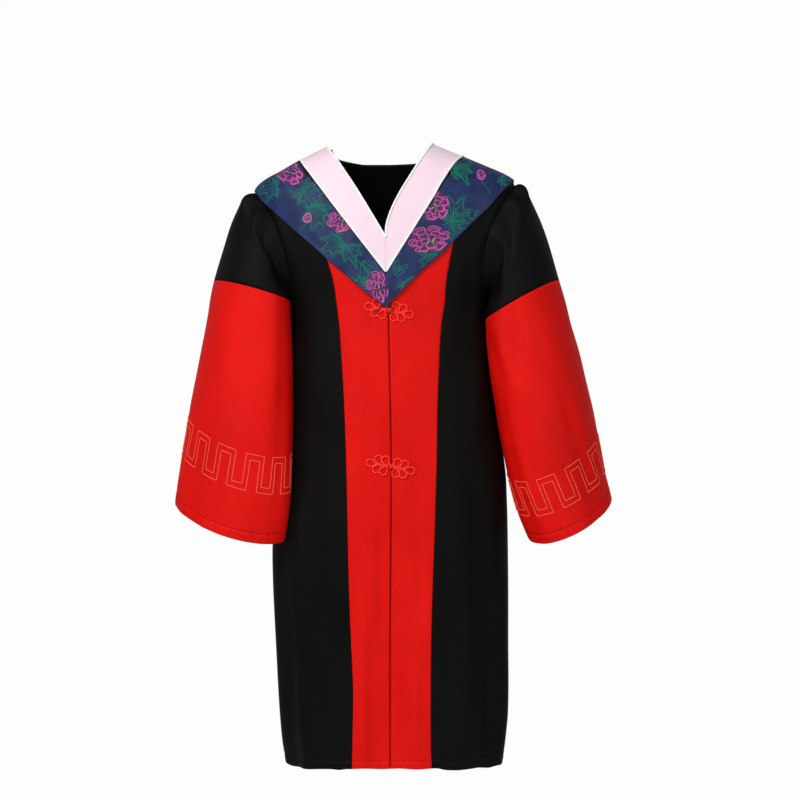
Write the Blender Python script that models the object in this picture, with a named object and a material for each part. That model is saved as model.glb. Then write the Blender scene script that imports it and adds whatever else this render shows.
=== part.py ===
"""Graduation gown with a hood, filled out as if worn. Metres, +Z up, the front faces -Y.

The origin is between the shoulders, level with the top of the neck opening. Lengths in the tables are
millimetres. An angle round the gown is 0 at the centre front, 90 at the right side of a front view,
180 at the centre back and -90 at the left side.
"""

import bisect
import math

import bmesh
import bpy
from mathutils import Vector

MM = 0.001

# Cloth and gaps
CLOTH = 1.5
HOOD_CLOTH = 1.8
SEAM_GAP = 0.3
HOOD_OVER_GOWN = 3.4

# Girth: height, half width left, half width right, half depth front, half depth back
GIRTH = [
    (14, 94, 69, 60, 60),
    (4, 116, 92, 70, 70),
    (-9, 142, 123, 78, 79),
    (-24, 172, 160, 85, 87),
    (-41, 201, 200, 92, 95),
    (-55, 227, 227, 97, 101),
    (-70, 245, 237, 102, 106),
    (-85, 250, 241, 107, 110),
    (-110, 247, 241, 113, 114),
    (-150, 236, 233, 120, 119),
    (-200, 220, 219, 126, 123),
    (-275, 191, 188, 131, 127),
    (-400, 188, 188, 135, 131),
    (-520, 192, 206, 138, 135),
    (-600, 200, 217, 140, 138),
    (-640, 204, 219, 141, 139),
    (-700, 216, 221, 142, 141),
    (-760, 219, 222, 143, 143),
    (-900, 213, 222, 145, 146),
    (-1050, 203, 221, 147, 149),
    (-1100, 198, 216, 148, 150),
    (-1145, 190, 209, 149, 150),
]
ROUNDNESS = 2.3
NORMAL_TURN = 1.5
NORMAL_RISE = 3.0

# Hem, which rises a little at the side seams: height, lift, half width of the lift in degrees, its depth
HEM_Z = -1145
SIDE_LIFT = 9
SIDE_SPAN = 32
SIDE_DEPTH = 130

# Armholes: top height, bottom height, cut into the front and the back in degrees
ARMHOLE = {
    -1: {"top": -78, "bottom": -275, "front_cut": 33, "back_cut": 30},
    1: {"top": -66, "bottom": -275, "front_cut": 40, "back_cut": 30},
}
ARM_STEPS = 12
CUT_SHAPE = 0.75

# Rows and columns of cloth
LOWER_ROWS = 13
FACING_COLUMNS = 3
FRONT_COLUMNS = 6
BACK_COLUMNS = 12

# Centre slit: height, sideways place
SLIT = [(-163, -4), (-300, -2), (-574, 3), (-907, 1), (-1145, 1)]

# Seam between a black front and its red facing: height, distance left, distance right
FACING_SEAM = [
    (-18, 164, 146),
    (-55, 152, 140),
    (-100, 140, 132),
    (-150, 128, 122),
    (-200, 116, 112),
    (-233, 106, 106),
    (-275, 99, 103),
    (-322, 93, 96),
    (-380, 89, 92),
    (-460, 84, 89),
    (-574, 80, 87),
    (-720, 77, 83),
    (-832, 74, 79),
    (-906, 71, 77),
    (-1000, 67, 76),
    (-1073, 68, 76),
    (-1145, 69, 77),
]

# Neck edge of the gown, hidden under the hood: height, sideways place left, right
NECK_EDGE = [(-163, -12, 4), (-130, -33, 6), (-85, -61, 24), (-40, -88, 50), (-10, -108, 70)]
NECK_SIDE_Z = {-1: 1, 1: 6}

# Back neck edge from the centre back: angle from the front, height
BACK_NECK = {
    -1: [(180, -22), (166, -22), (156, -18), (144, -13), (128, -2), (112, 5)],
    1: [(180, -22), (164, -20), (152, -9), (139, 1), (118, 9)],
}

# Long soft folds: angle, half width in degrees, rise at the hem, height where it starts
FLUTES = [
    (-76, 13, 6, -520),
    (-50, 11, 6, -430),
    (-31, 9, -4, -620),
    (-6, 6, -6, -700),
    (12, 8, 3, -640),
    (33, 10, 5, -480),
    (52, 10, -5, -560),
    (72, 12, 7, -500),
    (104, 13, 6, -430),
    (126, 12, -7, -330),
    (147, 11, 8, -260),
    (166, 9, -6, -330),
    (-172, 9, 7, -270),
    (-153, 10, -6, -360),
    (-132, 12, 8, -300),
    (-108, 12, -5, -420),
]

# Sleeves: place and height of the outer line, place and height of the inner line,
# half depth, how far forward, drop of the front edge, lean of the front towards the body
SLEEVE = {
    -1: [
        (250, -78, 192, -275, 74, 0, 0, 0),
        (270, -84, 191, -277, 80, 0, 0, 4),
        (286, -113, 190, -279, 86, 2, -3, 10),
        (302, -158, 189, -281, 90, 4, -4, 16),
        (325, -241, 187, -284, 94, 8, -3, 22),
        (337, -313, 185, -370, 97, 12, 1, 26),
        (350, -390, 184, -450, 99, 16, 3, 30),
        (366, -475, 184, -530, 101, 19, 6, 32),
        (380, -555, 184, -605, 102, 21, 14, 32),
        (391, -618, 185, -661, 103, 22, 22, 30),
        (398, -663, 190, -706, 103, 22, 30, 26),
    ],
    1: [
        (239, -66, 190, -275, 80, 0, 0, 0),
        (251, -68, 188, -281, 84, 0, 0, 4),
        (268, -99, 186, -288, 88, 2, 0, 10),
        (291, -158, 182, -298, 92, 4, 0, 14),
        (315, -240, 177, -320, 95, 8, 0, 18),
        (334, -315, 186, -385, 97, 12, 2, 22),
        (353, -390, 196, -450, 99, 15, 6, 24),
        (373, -475, 208, -525, 101, 17, 12, 22),
        (391, -555, 222, -600, 102, 18, 18, 18),
        (404, -614, 239, -661, 103, 18, 24, 16),
        (414, -652, 259, -709, 103, 18, 30, 14),
    ],
}
SEAM_ROW = 4
RINGS_A_ROW = 2
SLEEVE_CLEARANCE = 4
BLEND_SHARE = 0.16
CLEAR_SHARE = 0.1
CUFF_SAG = 9
SAG_FROM = 0.8
SEAT_SHIFT = 0.4

# Sleeve folds: place round the sleeve (0 inner line, 0.25 front, 0.5 outer line, 0.75 back), half width,
# rise, place along the sleeve where it is deepest, half length
SLEEVE_FOLDS = {
    -1: [(0.16, 0.05, -5, 0.75, 0.5), (0.30, 0.07, 4, 0.85, 0.45), (0.41, 0.05, -4, 0.9, 0.35),
         (0.62, 0.06, 5, 0.8, 0.5), (0.76, 0.06, -5, 0.7, 0.5), (0.90, 0.05, 4, 0.9, 0.5),
         (0.44, 0.04, 5, 0.12, 0.14)],
    1: [(0.14, 0.05, -5, 0.8, 0.5), (0.28, 0.06, 4, 0.6, 0.5), (0.38, 0.05, -5, 0.85, 0.4),
        (0.60, 0.06, 5, 0.75, 0.5), (0.74, 0.06, -5, 0.8, 0.5), (0.88, 0.05, 4, 0.8, 0.5),
        (0.45, 0.03, 6, 0.10, 0.13), (0.38, 0.03, 5, 0.14, 0.15)],
}

# Hood lines on the front, from the middle up to the shoulder: place, height.
# The last height lies on the shoulder line, where the place follows from the girth.
HOOD_INNER = {
    -1: [(-6.5, -163), (-33, -119), (-58, -78), (-83, -40), (-97, -19), (None, 4)],
    1: [(-6.5, -163), (-6, -142), (2, -115), (17, -84), (40, -46), (58, -18), (None, 10)],
}
HOOD_SEAM = {
    -1: [(-6.5, -226), (-46, -175), (-87, -122), (-126, -71), (-152, -37), (None, -20)],
    1: [(-6.5, -226), (30, -167), (62, -116), (82, -84), (96, -59), (119, -26), (None, -14)],
}
HOOD_OUTER = {
    -1: [(-6.5, -292), (-43, -263), (-78, -233), (-112, -204), (-145, -174), (-179, -144), (-211, -114),
         (-232, -95), (None, -76)],
    1: [(-6.5, -292), (6.5, -277), (35, -248), (66, -218), (99, -189), (127, -160), (153, -134),
        (174, -114), (191, -96), (205, -79), (None, -57)],
}
# Heights of the three hood lines at the centre back
HOOD_BACK_INNER_Z = -34
HOOD_BACK_SEAM_Z = -66
HOOD_BACK_OUTER_Z = -205
HOOD_BACK_CURVE = 2.2
HOOD_FRONT_ROWS = 12
HOOD_BACK_ROWS = 12
PINK_COLUMNS = 2
NAVY_COLUMNS = 5
FINE_STEPS = 240
TIP_LIFT = 3.4
LIFT_FROM_Z = -222
LIFT_FULL_Z = -264
PIPING_R = 1.6

# Frog closures
FROG_CORD_R = 1.7
FROG_TILT = 11
FROG_HEIGHTS = {"upper": -297, "lower": -585}
FROG_MIDDLE_X = {"upper": -1, "lower": 2}
KNOT_R = 4.2
BAR_START = 6.5
PETAL_R_ALONG = 4.6
PETAL_R_ACROSS = 5.6
PETAL_PITCH = 13.2
FIRST_PETAL = 13.5
PETAL_RISE = 9.3
PETAL_OPENING = 50
PETAL_FOOT = 5.9
PETAL_STEPS = 9
TIP_PETAL_STEP = 11.6
TIP_PETAL_OPENING = 60
STRAND_STEPS = 4

# Elastic strands under the point of the hood: start place and height, end place and height
STRANDS = {"left": (-14, -288, -22, -303), "right": (1, -288, 7, -300)}
STRAND_R = 0.8

COLOURS = {
    "black_cloth": (0.010, 0.011, 0.012),
    "red_cloth": (0.70, 0.012, 0.010),
    "pink_satin": (0.86, 0.68, 0.83),
    "navy_brocade": (0.020, 0.035, 0.12),
    "white_piping": (0.90, 0.90, 0.90),
    "red_cord": (0.72, 0.014, 0.012),
    "black_elastic": (0.012, 0.012, 0.013),
}
ROUGHNESS = {"pink_satin": 0.45, "navy_brocade": 0.5, "red_cord": 0.6}
PLAIN_ROUGHNESS = 0.8
WELD = 0.01


def between(table, at, column):
    """A smooth value of one column of a table whose first column falls or rises."""
    rows = sorted(table)
    keys = [row[0] for row in rows]
    values = [row[column] for row in rows]
    if at <= keys[0]:
        return values[0]
    if at >= keys[-1]:
        return values[-1]
    i = bisect.bisect_right(keys, at) - 1
    step = keys[i + 1] - keys[i]
    t = (at - keys[i]) / step

    def slope(j):
        lo = max(j - 1, 0)
        hi = min(j + 1, len(keys) - 1)
        return (values[hi] - values[lo]) / (keys[hi] - keys[lo])

    t2, t3 = t * t, t * t * t
    return (
        (2 * t3 - 3 * t2 + 1) * values[i]
        + (t3 - 2 * t2 + t) * step * slope(i)
        + (3 * t2 - 2 * t3) * values[i + 1]
        + (t3 - t2) * step * slope(i + 1)
    )


def smooth(t):
    t = min(1.0, max(0.0, t))
    return t * t * (3 - 2 * t)


def bell(t):
    """1 at 0, falling smoothly to 0 at -1 and 1."""
    return 0.0 if abs(t) >= 1 else 0.5 + 0.5 * math.cos(math.pi * t)


def half_width(side, z):
    return between(GIRTH, z, 1 if side < 0 else 2)


def fold_rise(angle, z):
    rise = 0.0
    for middle, half, depth, start in FLUTES:
        apart = (angle - middle + 180) % 360 - 180
        rise += depth * bell(apart / half) * smooth((start - z) / (start - HEM_Z))
    return rise


def gown_base(angle, z):
    """A point on the gown's outside, without folds."""
    sine = math.sin(math.radians(angle))
    cosine = math.cos(math.radians(angle))
    power = 2 / ROUNDNESS
    side = -1 if sine < 0 else 1
    x = side * half_width(side, z) * abs(sine) ** power
    depth = between(GIRTH, z, 3 if cosine > 0 else 4)
    y = -math.copysign(depth * abs(cosine) ** power, cosine)
    return Vector((x, y, z))


def gown_normal(angle, z):
    along = gown_base(angle + NORMAL_TURN, z) - gown_base(angle - NORMAL_TURN, z)
    up = gown_base(angle, z + NORMAL_RISE) - gown_base(angle, z - NORMAL_RISE)
    return along.cross(up).normalized()


def on_gown(angle, z, out=0.0):
    """A point on the gown, moved out along its normal."""
    return gown_base(angle, z) + gown_normal(angle, z) * (fold_rise(angle, z) + out)


def front_angle(x, z):
    """The angle of the front point that a front view shows at x."""
    side = -1 if x < 0 else 1
    share = min(1.0, abs(x) / half_width(side, z))
    return side * math.degrees(math.asin(share ** (ROUNDNESS / 2)))


def armhole(side, part, share):
    """(angle, height) on an armhole's front or back edge, from its bottom to its top."""
    hole = ARMHOLE[side]
    turn = math.pi * share
    middle = (hole["top"] + hole["bottom"]) / 2
    half = (hole["top"] - hole["bottom"]) / 2
    cut = hole[part + "_cut"] * math.sin(turn) ** CUT_SHAPE if 0 < share < 1 else 0.0
    angle = 90 - cut if part == "front" else 90 + cut
    return side * angle, middle - half * math.cos(turn)


def along_line(points, share):
    """The point at a share of the length of a line of (angle, height) points."""
    lengths = [0.0]
    for (a0, z0), (a1, z1) in zip(points, points[1:]):
        lengths.append(lengths[-1] + math.hypot(a1 - a0, z1 - z0))
    at = share * lengths[-1]
    i = min(bisect.bisect_right(lengths, at) - 1, len(points) - 2)
    t = (at - lengths[i]) / (lengths[i + 1] - lengths[i])
    return tuple((1 - t) * p + t * q for p, q in zip(points[i], points[i + 1]))


def patch(low, high, inner, outer, rows, columns):
    """A grid of (angle, height) between four edges given as functions of a share."""
    corners = [low(0), low(1), high(0), high(1)]
    grid = []
    for r in range(rows + 1):
        v = r / rows
        line = []
        for c in range(columns + 1):
            u = c / columns
            point = []
            for k in (0, 1):
                value = (1 - v) * low(u)[k] + v * high(u)[k] + (1 - u) * inner(v)[k] + u * outer(v)[k]
                value -= (1 - u) * (1 - v) * corners[0][k] + u * (1 - v) * corners[1][k]
                value -= (1 - u) * v * corners[2][k] + u * v * corners[3][k]
                point.append(value)
            line.append(tuple(point))
        grid.append(line)
    return grid


def side_lift(angle, z):
    """How much higher than level the cloth near the hem is beside a side seam."""
    apart = abs(angle) % 180 - 90
    return SIDE_LIFT * bell(apart / SIDE_SPAN) * max(0.0, 1 - (z - HEM_Z) / SIDE_DEPTH)


def lower_rows(inner, outer, top, columns):
    """Rows of (angle, height) from the hem to just under top; the edges are functions of height."""
    grid = []
    for r in range(LOWER_ROWS):
        z = HEM_Z + (top - HEM_Z) * r / LOWER_ROWS
        first, last = inner(z), outer(z)
        angles = [first + (last - first) * c / columns for c in range(columns + 1)]
        grid.append([(angle, z + side_lift(angle, z)) for angle in angles])
    return grid


def straight(first, last):
    return lambda share: tuple((1 - share) * p + share * q for p, q in zip(first, last))


def slit_angle(z):
    return front_angle(between(SLIT, z, 1), z)


def seam_angle(side, z):
    return front_angle(side * between(FACING_SEAM, z, 1 if side < 0 else 2), z)


def seam_line(side):
    """The facing seam from the armhole's bottom to the shoulder line."""
    bottom = ARMHOLE[side]["bottom"]
    top = FACING_SEAM[0][0]
    line = [(seam_angle(side, z), z) for z, *_ in reversed(FACING_SEAM) if bottom <= z < top]
    return line + [(side * 90, top)]


def neck_line(side):
    """The front neck edge from the slit at the armhole's bottom height to the shoulder line."""
    bottom = ARMHOLE[side]["bottom"]
    line = [(slit_angle(bottom), bottom), (slit_angle(-200), -200)]
    for z, left, right in NECK_EDGE:
        line.append((front_angle(left if side < 0 else right, z), z))
    return line + [(side * 90, NECK_SIDE_Z[side])]


def facing_grid(side):
    bottom = ARMHOLE[side]["bottom"]
    inner = neck_line(side)
    outer = seam_line(side)
    upper = patch(
        straight(inner[0], outer[0]),
        straight(inner[-1], outer[-1]),
        lambda v: along_line(inner, v),
        lambda v: along_line(outer, v),
        ARM_STEPS,
        FACING_COLUMNS,
    )
    lower = lower_rows(slit_angle, lambda z: seam_angle(side, z), bottom, FACING_COLUMNS)
    return lower + upper


def front_grid(side):
    bottom = ARMHOLE[side]["bottom"]
    inner = seam_line(side)
    upper = patch(
        straight(inner[0], (side * 90, bottom)),
        straight(inner[-1], (side * 90, ARMHOLE[side]["top"])),
        lambda v: along_line(inner, v),
        lambda v: armhole(side, "front", v),
        ARM_STEPS,
        FRONT_COLUMNS,
    )
    lower = lower_rows(lambda z: seam_angle(side, z), lambda z: side * 90, bottom, FRONT_COLUMNS)
    return lower + upper


def half_back_grid(side):
    """Half of the back, from the centre back out to the side."""
    bottom = ARMHOLE[side]["bottom"]
    neck = BACK_NECK[side] + [(90, NECK_SIDE_Z[side]), (90, ARMHOLE[side]["top"])]
    top = [(side * angle, z) for angle, z in neck]
    upper = patch(
        straight((side * 180, bottom), (side * 90, bottom)),
        lambda u: along_line(top, u),
        straight((side * 180, bottom), (side * 180, BACK_NECK[side][0][1])),
        lambda v: armhole(side, "back", v),
        ARM_STEPS,
        BACK_COLUMNS,
    )
    lower = lower_rows(lambda z: side * 180, lambda z: side * 90, bottom, BACK_COLUMNS)
    return lower + upper


def wall(grid, thickness, out=lambda angle, z: 0.0):
    """Outside and inside points of cloth that follows the gown."""
    outside, inside = [], []
    for line in grid:
        outside.append([on_gown(angle, z, out(angle, z) + thickness) for angle, z in line])
        inside.append([on_gown(angle, z, out(angle, z)) for angle, z in line])
    return outside, inside


def draw_in(layers, gap, edges):
    """Pull the named edges of a sheet's layers back by gap, so that it clears its neighbours."""
    for rows in layers:
        last = len(rows) - 1
        if "first_column" in edges:
            for row in rows:
                row[0] = row[0] + (row[1] - row[0]).normalized() * gap
        if "last_column" in edges:
            for row in rows:
                row[-1] = row[-1] + (row[-2] - row[-1]).normalized() * gap
        if "first_row" in edges:
            rows[0] = [p + (q - p).normalized() * gap for p, q in zip(rows[0], rows[1])]
        if "last_row" in edges:
            rows[last] = [p + (q - p).normalized() * gap for p, q in zip(rows[last], rows[last - 1])]


def material(name):
    found = bpy.data.materials.get(name)
    if found:
        return found
    made = bpy.data.materials.new(name)
    made.use_nodes = True
    shader = made.node_tree.nodes["Principled BSDF"]
    shader.inputs["Base Color"].default_value = (*COLOURS[name], 1)
    shader.inputs["Roughness"].default_value = ROUGHNESS.get(name, PLAIN_ROUGHNESS)
    shader.inputs["Metallic"].default_value = 0.0
    return made


def add_object(name, mesh_tools, slot):
    """Turn a bmesh into a named, smooth-shaded object in the gown's collection."""
    bmesh.ops.scale(mesh_tools, vec=(MM, MM, MM), verts=mesh_tools.verts)
    bmesh.ops.recalc_face_normals(mesh_tools, faces=mesh_tools.faces)
    for face in mesh_tools.faces:
        face.smooth = True
    mesh = bpy.data.meshes.new(name)
    mesh_tools.to_mesh(mesh)
    mesh_tools.free()
    mesh.materials.append(material(slot))
    made = bpy.data.objects.new(name, mesh)
    bpy.data.collections["graduation_gown"].objects.link(made)
    return made


def sheet(name, layers, slot, closed=False):
    """A closed wall between an outside and an inside grid; closed joins the last column to the first."""
    work = bmesh.new()
    outside, inside = [[[work.verts.new(p) for p in row] for row in rows] for rows in layers]
    rows = len(outside)
    columns = len(outside[0])
    spans = columns if closed else columns - 1
    for r in range(rows - 1):
        for c in range(spans):
            d = (c + 1) % columns
            work.faces.new((outside[r][c], outside[r][d], outside[r + 1][d], outside[r + 1][c]))
            work.faces.new((inside[r][c], inside[r + 1][c], inside[r + 1][d], inside[r][d]))
    for r in (0, rows - 1):
        for c in range(spans):
            d = (c + 1) % columns
            work.faces.new((outside[r][c], inside[r][c], inside[r][d], outside[r][d]))
    if not closed:
        for c in (0, columns - 1):
            for r in range(rows - 1):
                work.faces.new((outside[r][c], outside[r + 1][c], inside[r + 1][c], inside[r][c]))
    return add_object(name, work, slot)


def cord(name, points, radius, slot, sides=6):
    """A round cord with closed ends along a line of points, made from a bevelled curve."""
    curve = bpy.data.curves.new(name, "CURVE")
    curve.dimensions = "3D"
    curve.bevel_depth = radius
    curve.bevel_resolution = (sides - 4) // 2
    curve.use_fill_caps = True
    spline = curve.splines.new("POLY")
    spline.points.add(len(points) - 1)
    for place, point in zip(spline.points, points):
        place.co = (*point, 1)
    holder = bpy.data.objects.new(name + "_line", curve)
    mesh = bpy.data.meshes.new_from_object(holder)
    work = bmesh.new()
    work.from_mesh(mesh)
    bmesh.ops.remove_doubles(work, verts=work.verts, dist=WELD)
    bpy.data.objects.remove(holder)
    bpy.data.meshes.remove(mesh)
    bpy.data.curves.remove(curve)
    return add_object(name, work, slot)


def build_body():
    half = SEAM_GAP / 2
    for side, word in ((-1, "left"), (1, "right")):
        facing = wall(facing_grid(side), CLOTH, lambda a, z: -CLOTH)
        draw_in(facing, half, ("first_column", "last_column", "last_row"))
        sheet(f"facing_{word}", facing, "red_cloth")
        front = wall(front_grid(side), CLOTH, lambda a, z: -CLOTH)
        draw_in(front, half, ("first_column", "last_column", "last_row"))
        sheet(f"front_{word}", front, "black_cloth")
    left_rows = half_back_grid(-1)
    right_rows = half_back_grid(1)
    rows = [list(reversed(one)) + other[1:] for one, other in zip(left_rows, right_rows)]
    back = wall(rows, CLOTH, lambda a, z: -CLOTH)
    draw_in(back, half, ("first_column", "last_column", "last_row"))
    sheet("back", back, "black_cloth")


def armhole_loop(side):
    """The armhole as (angle, height), from its bottom up the front and down the back."""
    loop = [armhole(side, "front", k / ARM_STEPS) for k in range(ARM_STEPS + 1)]
    loop += [armhole(side, "back", 1 - k / ARM_STEPS) for k in range(1, ARM_STEPS)]
    return loop


def sleeve_section(side, row):
    """A sleeve row of the table, as places round the sleeve."""
    outer_x, outer_z, inner_x, inner_z, depth, forward, drop, lean = row
    count = 2 * ARM_STEPS
    middle = Vector((side * (outer_x + inner_x) / 2, -forward, (outer_z + inner_z) / 2))
    reach = Vector((side * (outer_x - inner_x) / 2, 0, (outer_z - inner_z) / 2))
    ahead = Vector((-side * lean, -depth, -drop))
    points = []
    for k in range(count):
        turn = 2 * math.pi * k / count
        points.append(middle - reach * math.cos(turn) + ahead * math.sin(turn))
    return points


def sleeve_rows(side):
    """The sleeve table with rows added between its own, smoothly."""
    table = [(i, *row) for i, row in enumerate(SLEEVE[side])]
    steps = (len(table) - 1) * RINGS_A_ROW
    columns = range(1, len(table[0]))
    return [[between(table, i / RINGS_A_ROW, c) for c in columns] for i in range(steps + 1)]


def clear_of_body(point, clearance):
    """Move a sleeve point out sideways until it clears the body."""
    side = -1 if point.x < 0 else 1
    wide = half_width(side, point.z) + clearance
    deep = between(GIRTH, point.z, 3 if point.y < 0 else 4) + clearance
    reach = (abs(point.x) / wide) ** ROUNDNESS + (abs(point.y) / deep) ** ROUNDNESS
    if reach >= 1:
        return point
    grow = reach ** (-1 / ROUNDNESS)
    return Vector((point.x * grow, point.y * grow, point.z))


def ring_normals(rings):
    """Outward normals of a tube of rings, all of one length."""
    last = len(rings) - 1
    count = len(rings[0])
    normals = []
    for r, ring in enumerate(rings):
        after, before = rings[min(r + 1, last)], rings[max(r - 1, 0)]
        middle = sum(ring, Vector()) / count
        line = []
        for k in range(count):
            around = ring[(k + 1) % count] - ring[k - 1]
            normal = around.cross(after[k] - before[k]).normalized()
            line.append(normal if normal.dot(ring[k] - middle) > 0 else -normal)
        normals.append(line)
    return normals


def sleeve_rings(side):
    """Outside and inside rings of a sleeve from its armhole to its cuff."""
    count = 2 * ARM_STEPS
    sections = [sleeve_section(side, row) for row in sleeve_rows(side)]
    last = len(sections) - 1
    loop = armhole_loop(side)
    seat = [on_gown(angle, z) for angle, z in loop]
    away = [gown_normal(angle, z) for angle, z in loop]
    rings = []
    for r, section in enumerate(sections):
        share = r / last
        hold = 1 - smooth(share / BLEND_SHARE)
        ring = []
        for k in range(count):
            point = section[k] + (seat[k] - sections[0][k]) * hold
            point = clear_of_body(point, SLEEVE_CLEARANCE * smooth(share / CLEAR_SHARE)) if r else point
            sag = smooth((share - SAG_FROM) / (1 - SAG_FROM)) * abs(math.sin(2 * math.pi * k / count))
            point.z -= CUFF_SAG * sag
            ring.append(point)
        rings.append(ring)
    normals = ring_normals(rings)
    for r, ring in enumerate(rings):
        share = r / last
        for k in range(count):
            for place, wide, rise, deepest, long in SLEEVE_FOLDS[side]:
                apart = (k / count - place + 0.5) % 1 - 0.5
                ring[k] = ring[k] + normals[r][k] * rise * bell(apart / wide) * bell((share - deepest) / long)
    rings[0] = [
        p + (q - p).normalized() * SEAT_SHIFT + n * SEAT_SHIFT for p, q, n in zip(rings[0], rings[1], away)
    ]
    normals = ring_normals(rings)
    inside = [[p - n * CLOTH for p, n in zip(ring, line)] for ring, line in zip(rings, normals)]
    return rings, inside


def build_sleeves():
    for side, word in ((-1, "left"), (1, "right")):
        outside, inside = sleeve_rings(side)
        seam = SEAM_ROW * RINGS_A_ROW
        upper = ([list(r) for r in outside[: seam + 1]], [list(r) for r in inside[: seam + 1]])
        lower = ([list(r) for r in outside[seam:]], [list(r) for r in inside[seam:]])
        draw_in(upper, SEAM_GAP / 2, ("last_row",))
        draw_in(lower, SEAM_GAP / 2, ("first_row",))
        sheet(f"upper_sleeve_{word}", upper, "black_cloth", closed=True)
        sheet(f"lower_sleeve_{word}", lower, "red_cloth", closed=True)


def hood_out(angle, z):
    """How far the hood lies over the gown; its point passes over the upper frog."""
    return HOOD_OVER_GOWN + TIP_LIFT * smooth((LIFT_FROM_Z - z) / (LIFT_FROM_Z - LIFT_FULL_Z))


def smooth_line(points, share):
    """The point at a share of a line's points, on a smooth curve through them."""
    at = share * (len(points) - 1)
    i = min(int(at), len(points) - 2)
    t = at - i
    before, here, there = points[max(i - 1, 0)], points[i], points[i + 1]
    after = points[min(i + 2, len(points) - 1)]
    value = []
    for p, q, r, s in zip(before, here, there, after):
        bend = (2 * p - 5 * q + 4 * r - s) * t + (3 * q - p - 3 * r + s) * t * t
        value.append(q + 0.5 * t * ((r - p) + bend))
    return tuple(value)


def even_line(side, points, steps):
    """Points (angle, height) evenly spaced along a line that a front view shows at points (x, height)."""
    seen = [smooth_line(points, i / FINE_STEPS) for i in range(FINE_STEPS + 1)]
    fine = [(front_angle(x, z), z) for x, z in seen[:-1]] + [(side * 90, points[-1][1])]
    places = [gown_base(angle, z) for angle, z in fine]
    lengths = [0.0]
    for one, other in zip(places, places[1:]):
        lengths.append(lengths[-1] + (other - one).length)
    line = []
    for step in range(steps + 1):
        at = lengths[-1] * step / steps
        i = min(bisect.bisect_left(lengths, at), FINE_STEPS)
        line.append(fine[i])
    return line


def hood_line(side, front, back_z):
    """A hood line from the middle of the front over the shoulder to the centre back."""
    shoulder_z = front[-1][1]
    points = front[:-1] + [(side * half_width(side, shoulder_z), shoulder_z)]
    line = even_line(side, points, HOOD_FRONT_ROWS)[:-1]
    for i in range(HOOD_BACK_ROWS + 1):
        share = i / HOOD_BACK_ROWS
        fall = math.sin(share * math.pi / 2) ** HOOD_BACK_CURVE
        line.append((side * (90 + 90 * share), shoulder_z + (back_z - shoulder_z) * fall))
    return line


def hood_band(first, last, columns):
    """A grid of (angle, height) between two hood lines."""
    grid = []
    for (a0, z0), (a1, z1) in zip(first, last):
        grid.append([(a0 + (a1 - a0) * c / columns, z0 + (z1 - z0) * c / columns) for c in range(columns + 1)])
    return grid


def build_hood():
    half = SEAM_GAP / 2
    edges = ("first_row", "last_row", "first_column", "last_column")
    for side, word in ((-1, "left"), (1, "right")):
        inner = hood_line(side, HOOD_INNER[side], HOOD_BACK_INNER_Z)
        seam = hood_line(side, HOOD_SEAM[side], HOOD_BACK_SEAM_Z)
        outer = hood_line(side, HOOD_OUTER[side], HOOD_BACK_OUTER_Z)
        pink = wall(hood_band(inner, seam, PINK_COLUMNS), HOOD_CLOTH, hood_out)
        draw_in(pink, half, edges)
        sheet(f"hood_pink_{word}", pink, "pink_satin")
        navy = wall(hood_band(seam, outer, NAVY_COLUMNS), HOOD_CLOTH, hood_out)
        draw_in(navy, half, edges)
        sheet(f"hood_navy_{word}", navy, "navy_brocade")
        over = HOOD_CLOTH + SEAM_GAP + PIPING_R
        for kind, line in (("edge", inner), ("seam", seam)):
            points = [on_gown(angle, z, hood_out(angle, z) + over) for angle, z in line]
            points[0].x += side * (PIPING_R + half)
            points[-1] = points[-1] + (points[-2] - points[-1]).normalized() * half
            cord(f"piping_{kind}_{word}", points, PIPING_R, "white_piping")


def petal(middle, rise, sign):
    """Places (along, across) round one loop of a frog, from its near foot to its far foot."""
    first = -90 - PETAL_OPENING / 2
    sweep = 360 - PETAL_OPENING
    points = []
    for i in range(PETAL_STEPS + 1):
        turn = math.radians(first - sweep * i / PETAL_STEPS)
        along = middle + PETAL_R_ALONG * math.cos(turn)
        points.append((along, sign * (rise + PETAL_R_ACROSS * math.sin(turn))))
    return points


def frog_path():
    """One half of a frog as (along, across), a single cord that never meets itself."""
    spine = FROG_CORD_R + SEAM_GAP
    near = FIRST_PETAL
    far = near + PETAL_PITCH
    upper = [(BAR_START, spine), (near - PETAL_FOOT, spine)]
    upper += petal(near, PETAL_RISE, 1)
    upper += [(near + PETAL_PITCH / 2, spine)]
    upper += petal(far, PETAL_RISE, 1)
    upper += [(far + PETAL_FOOT, spine)]
    tip_middle = far + TIP_PETAL_STEP
    half_sweep = 180 - TIP_PETAL_OPENING / 2
    tip = []
    for i in range(PETAL_STEPS + 1):
        turn = math.radians(half_sweep * (1 - 2 * i / PETAL_STEPS))
        tip.append((tip_middle + PETAL_R_ACROSS * math.cos(turn), PETAL_R_ALONG * math.sin(turn)))
    lower = [(along, -across) for along, across in reversed(upper)]
    return upper + tip + lower


def build_frogs():
    lift = FROG_CORD_R + SEAM_GAP
    tilt = math.radians(FROG_TILT)
    for place, height in FROG_HEIGHTS.items():
        middle = FROG_MIDDLE_X[place]
        for side, word in ((-1, "left"), (1, "right")):
            points = []
            for along, across in frog_path():
                x = middle + side * along * math.cos(tilt) + across * math.sin(tilt)
                z = height - side * along * math.sin(tilt) + across * math.cos(tilt)
                points.append(on_gown(front_angle(x, z), z, lift))
            cord(f"frog_{place}_{word}", points, FROG_CORD_R, "red_cord")
        work = bmesh.new()
        bmesh.ops.create_icosphere(work, subdivisions=2, radius=KNOT_R)
        centre = on_gown(front_angle(middle, height), height, KNOT_R + SEAM_GAP)
        bmesh.ops.translate(work, vec=centre, verts=work.verts)
        add_object(f"frog_{place}_knot", work, "red_cord")


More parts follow.
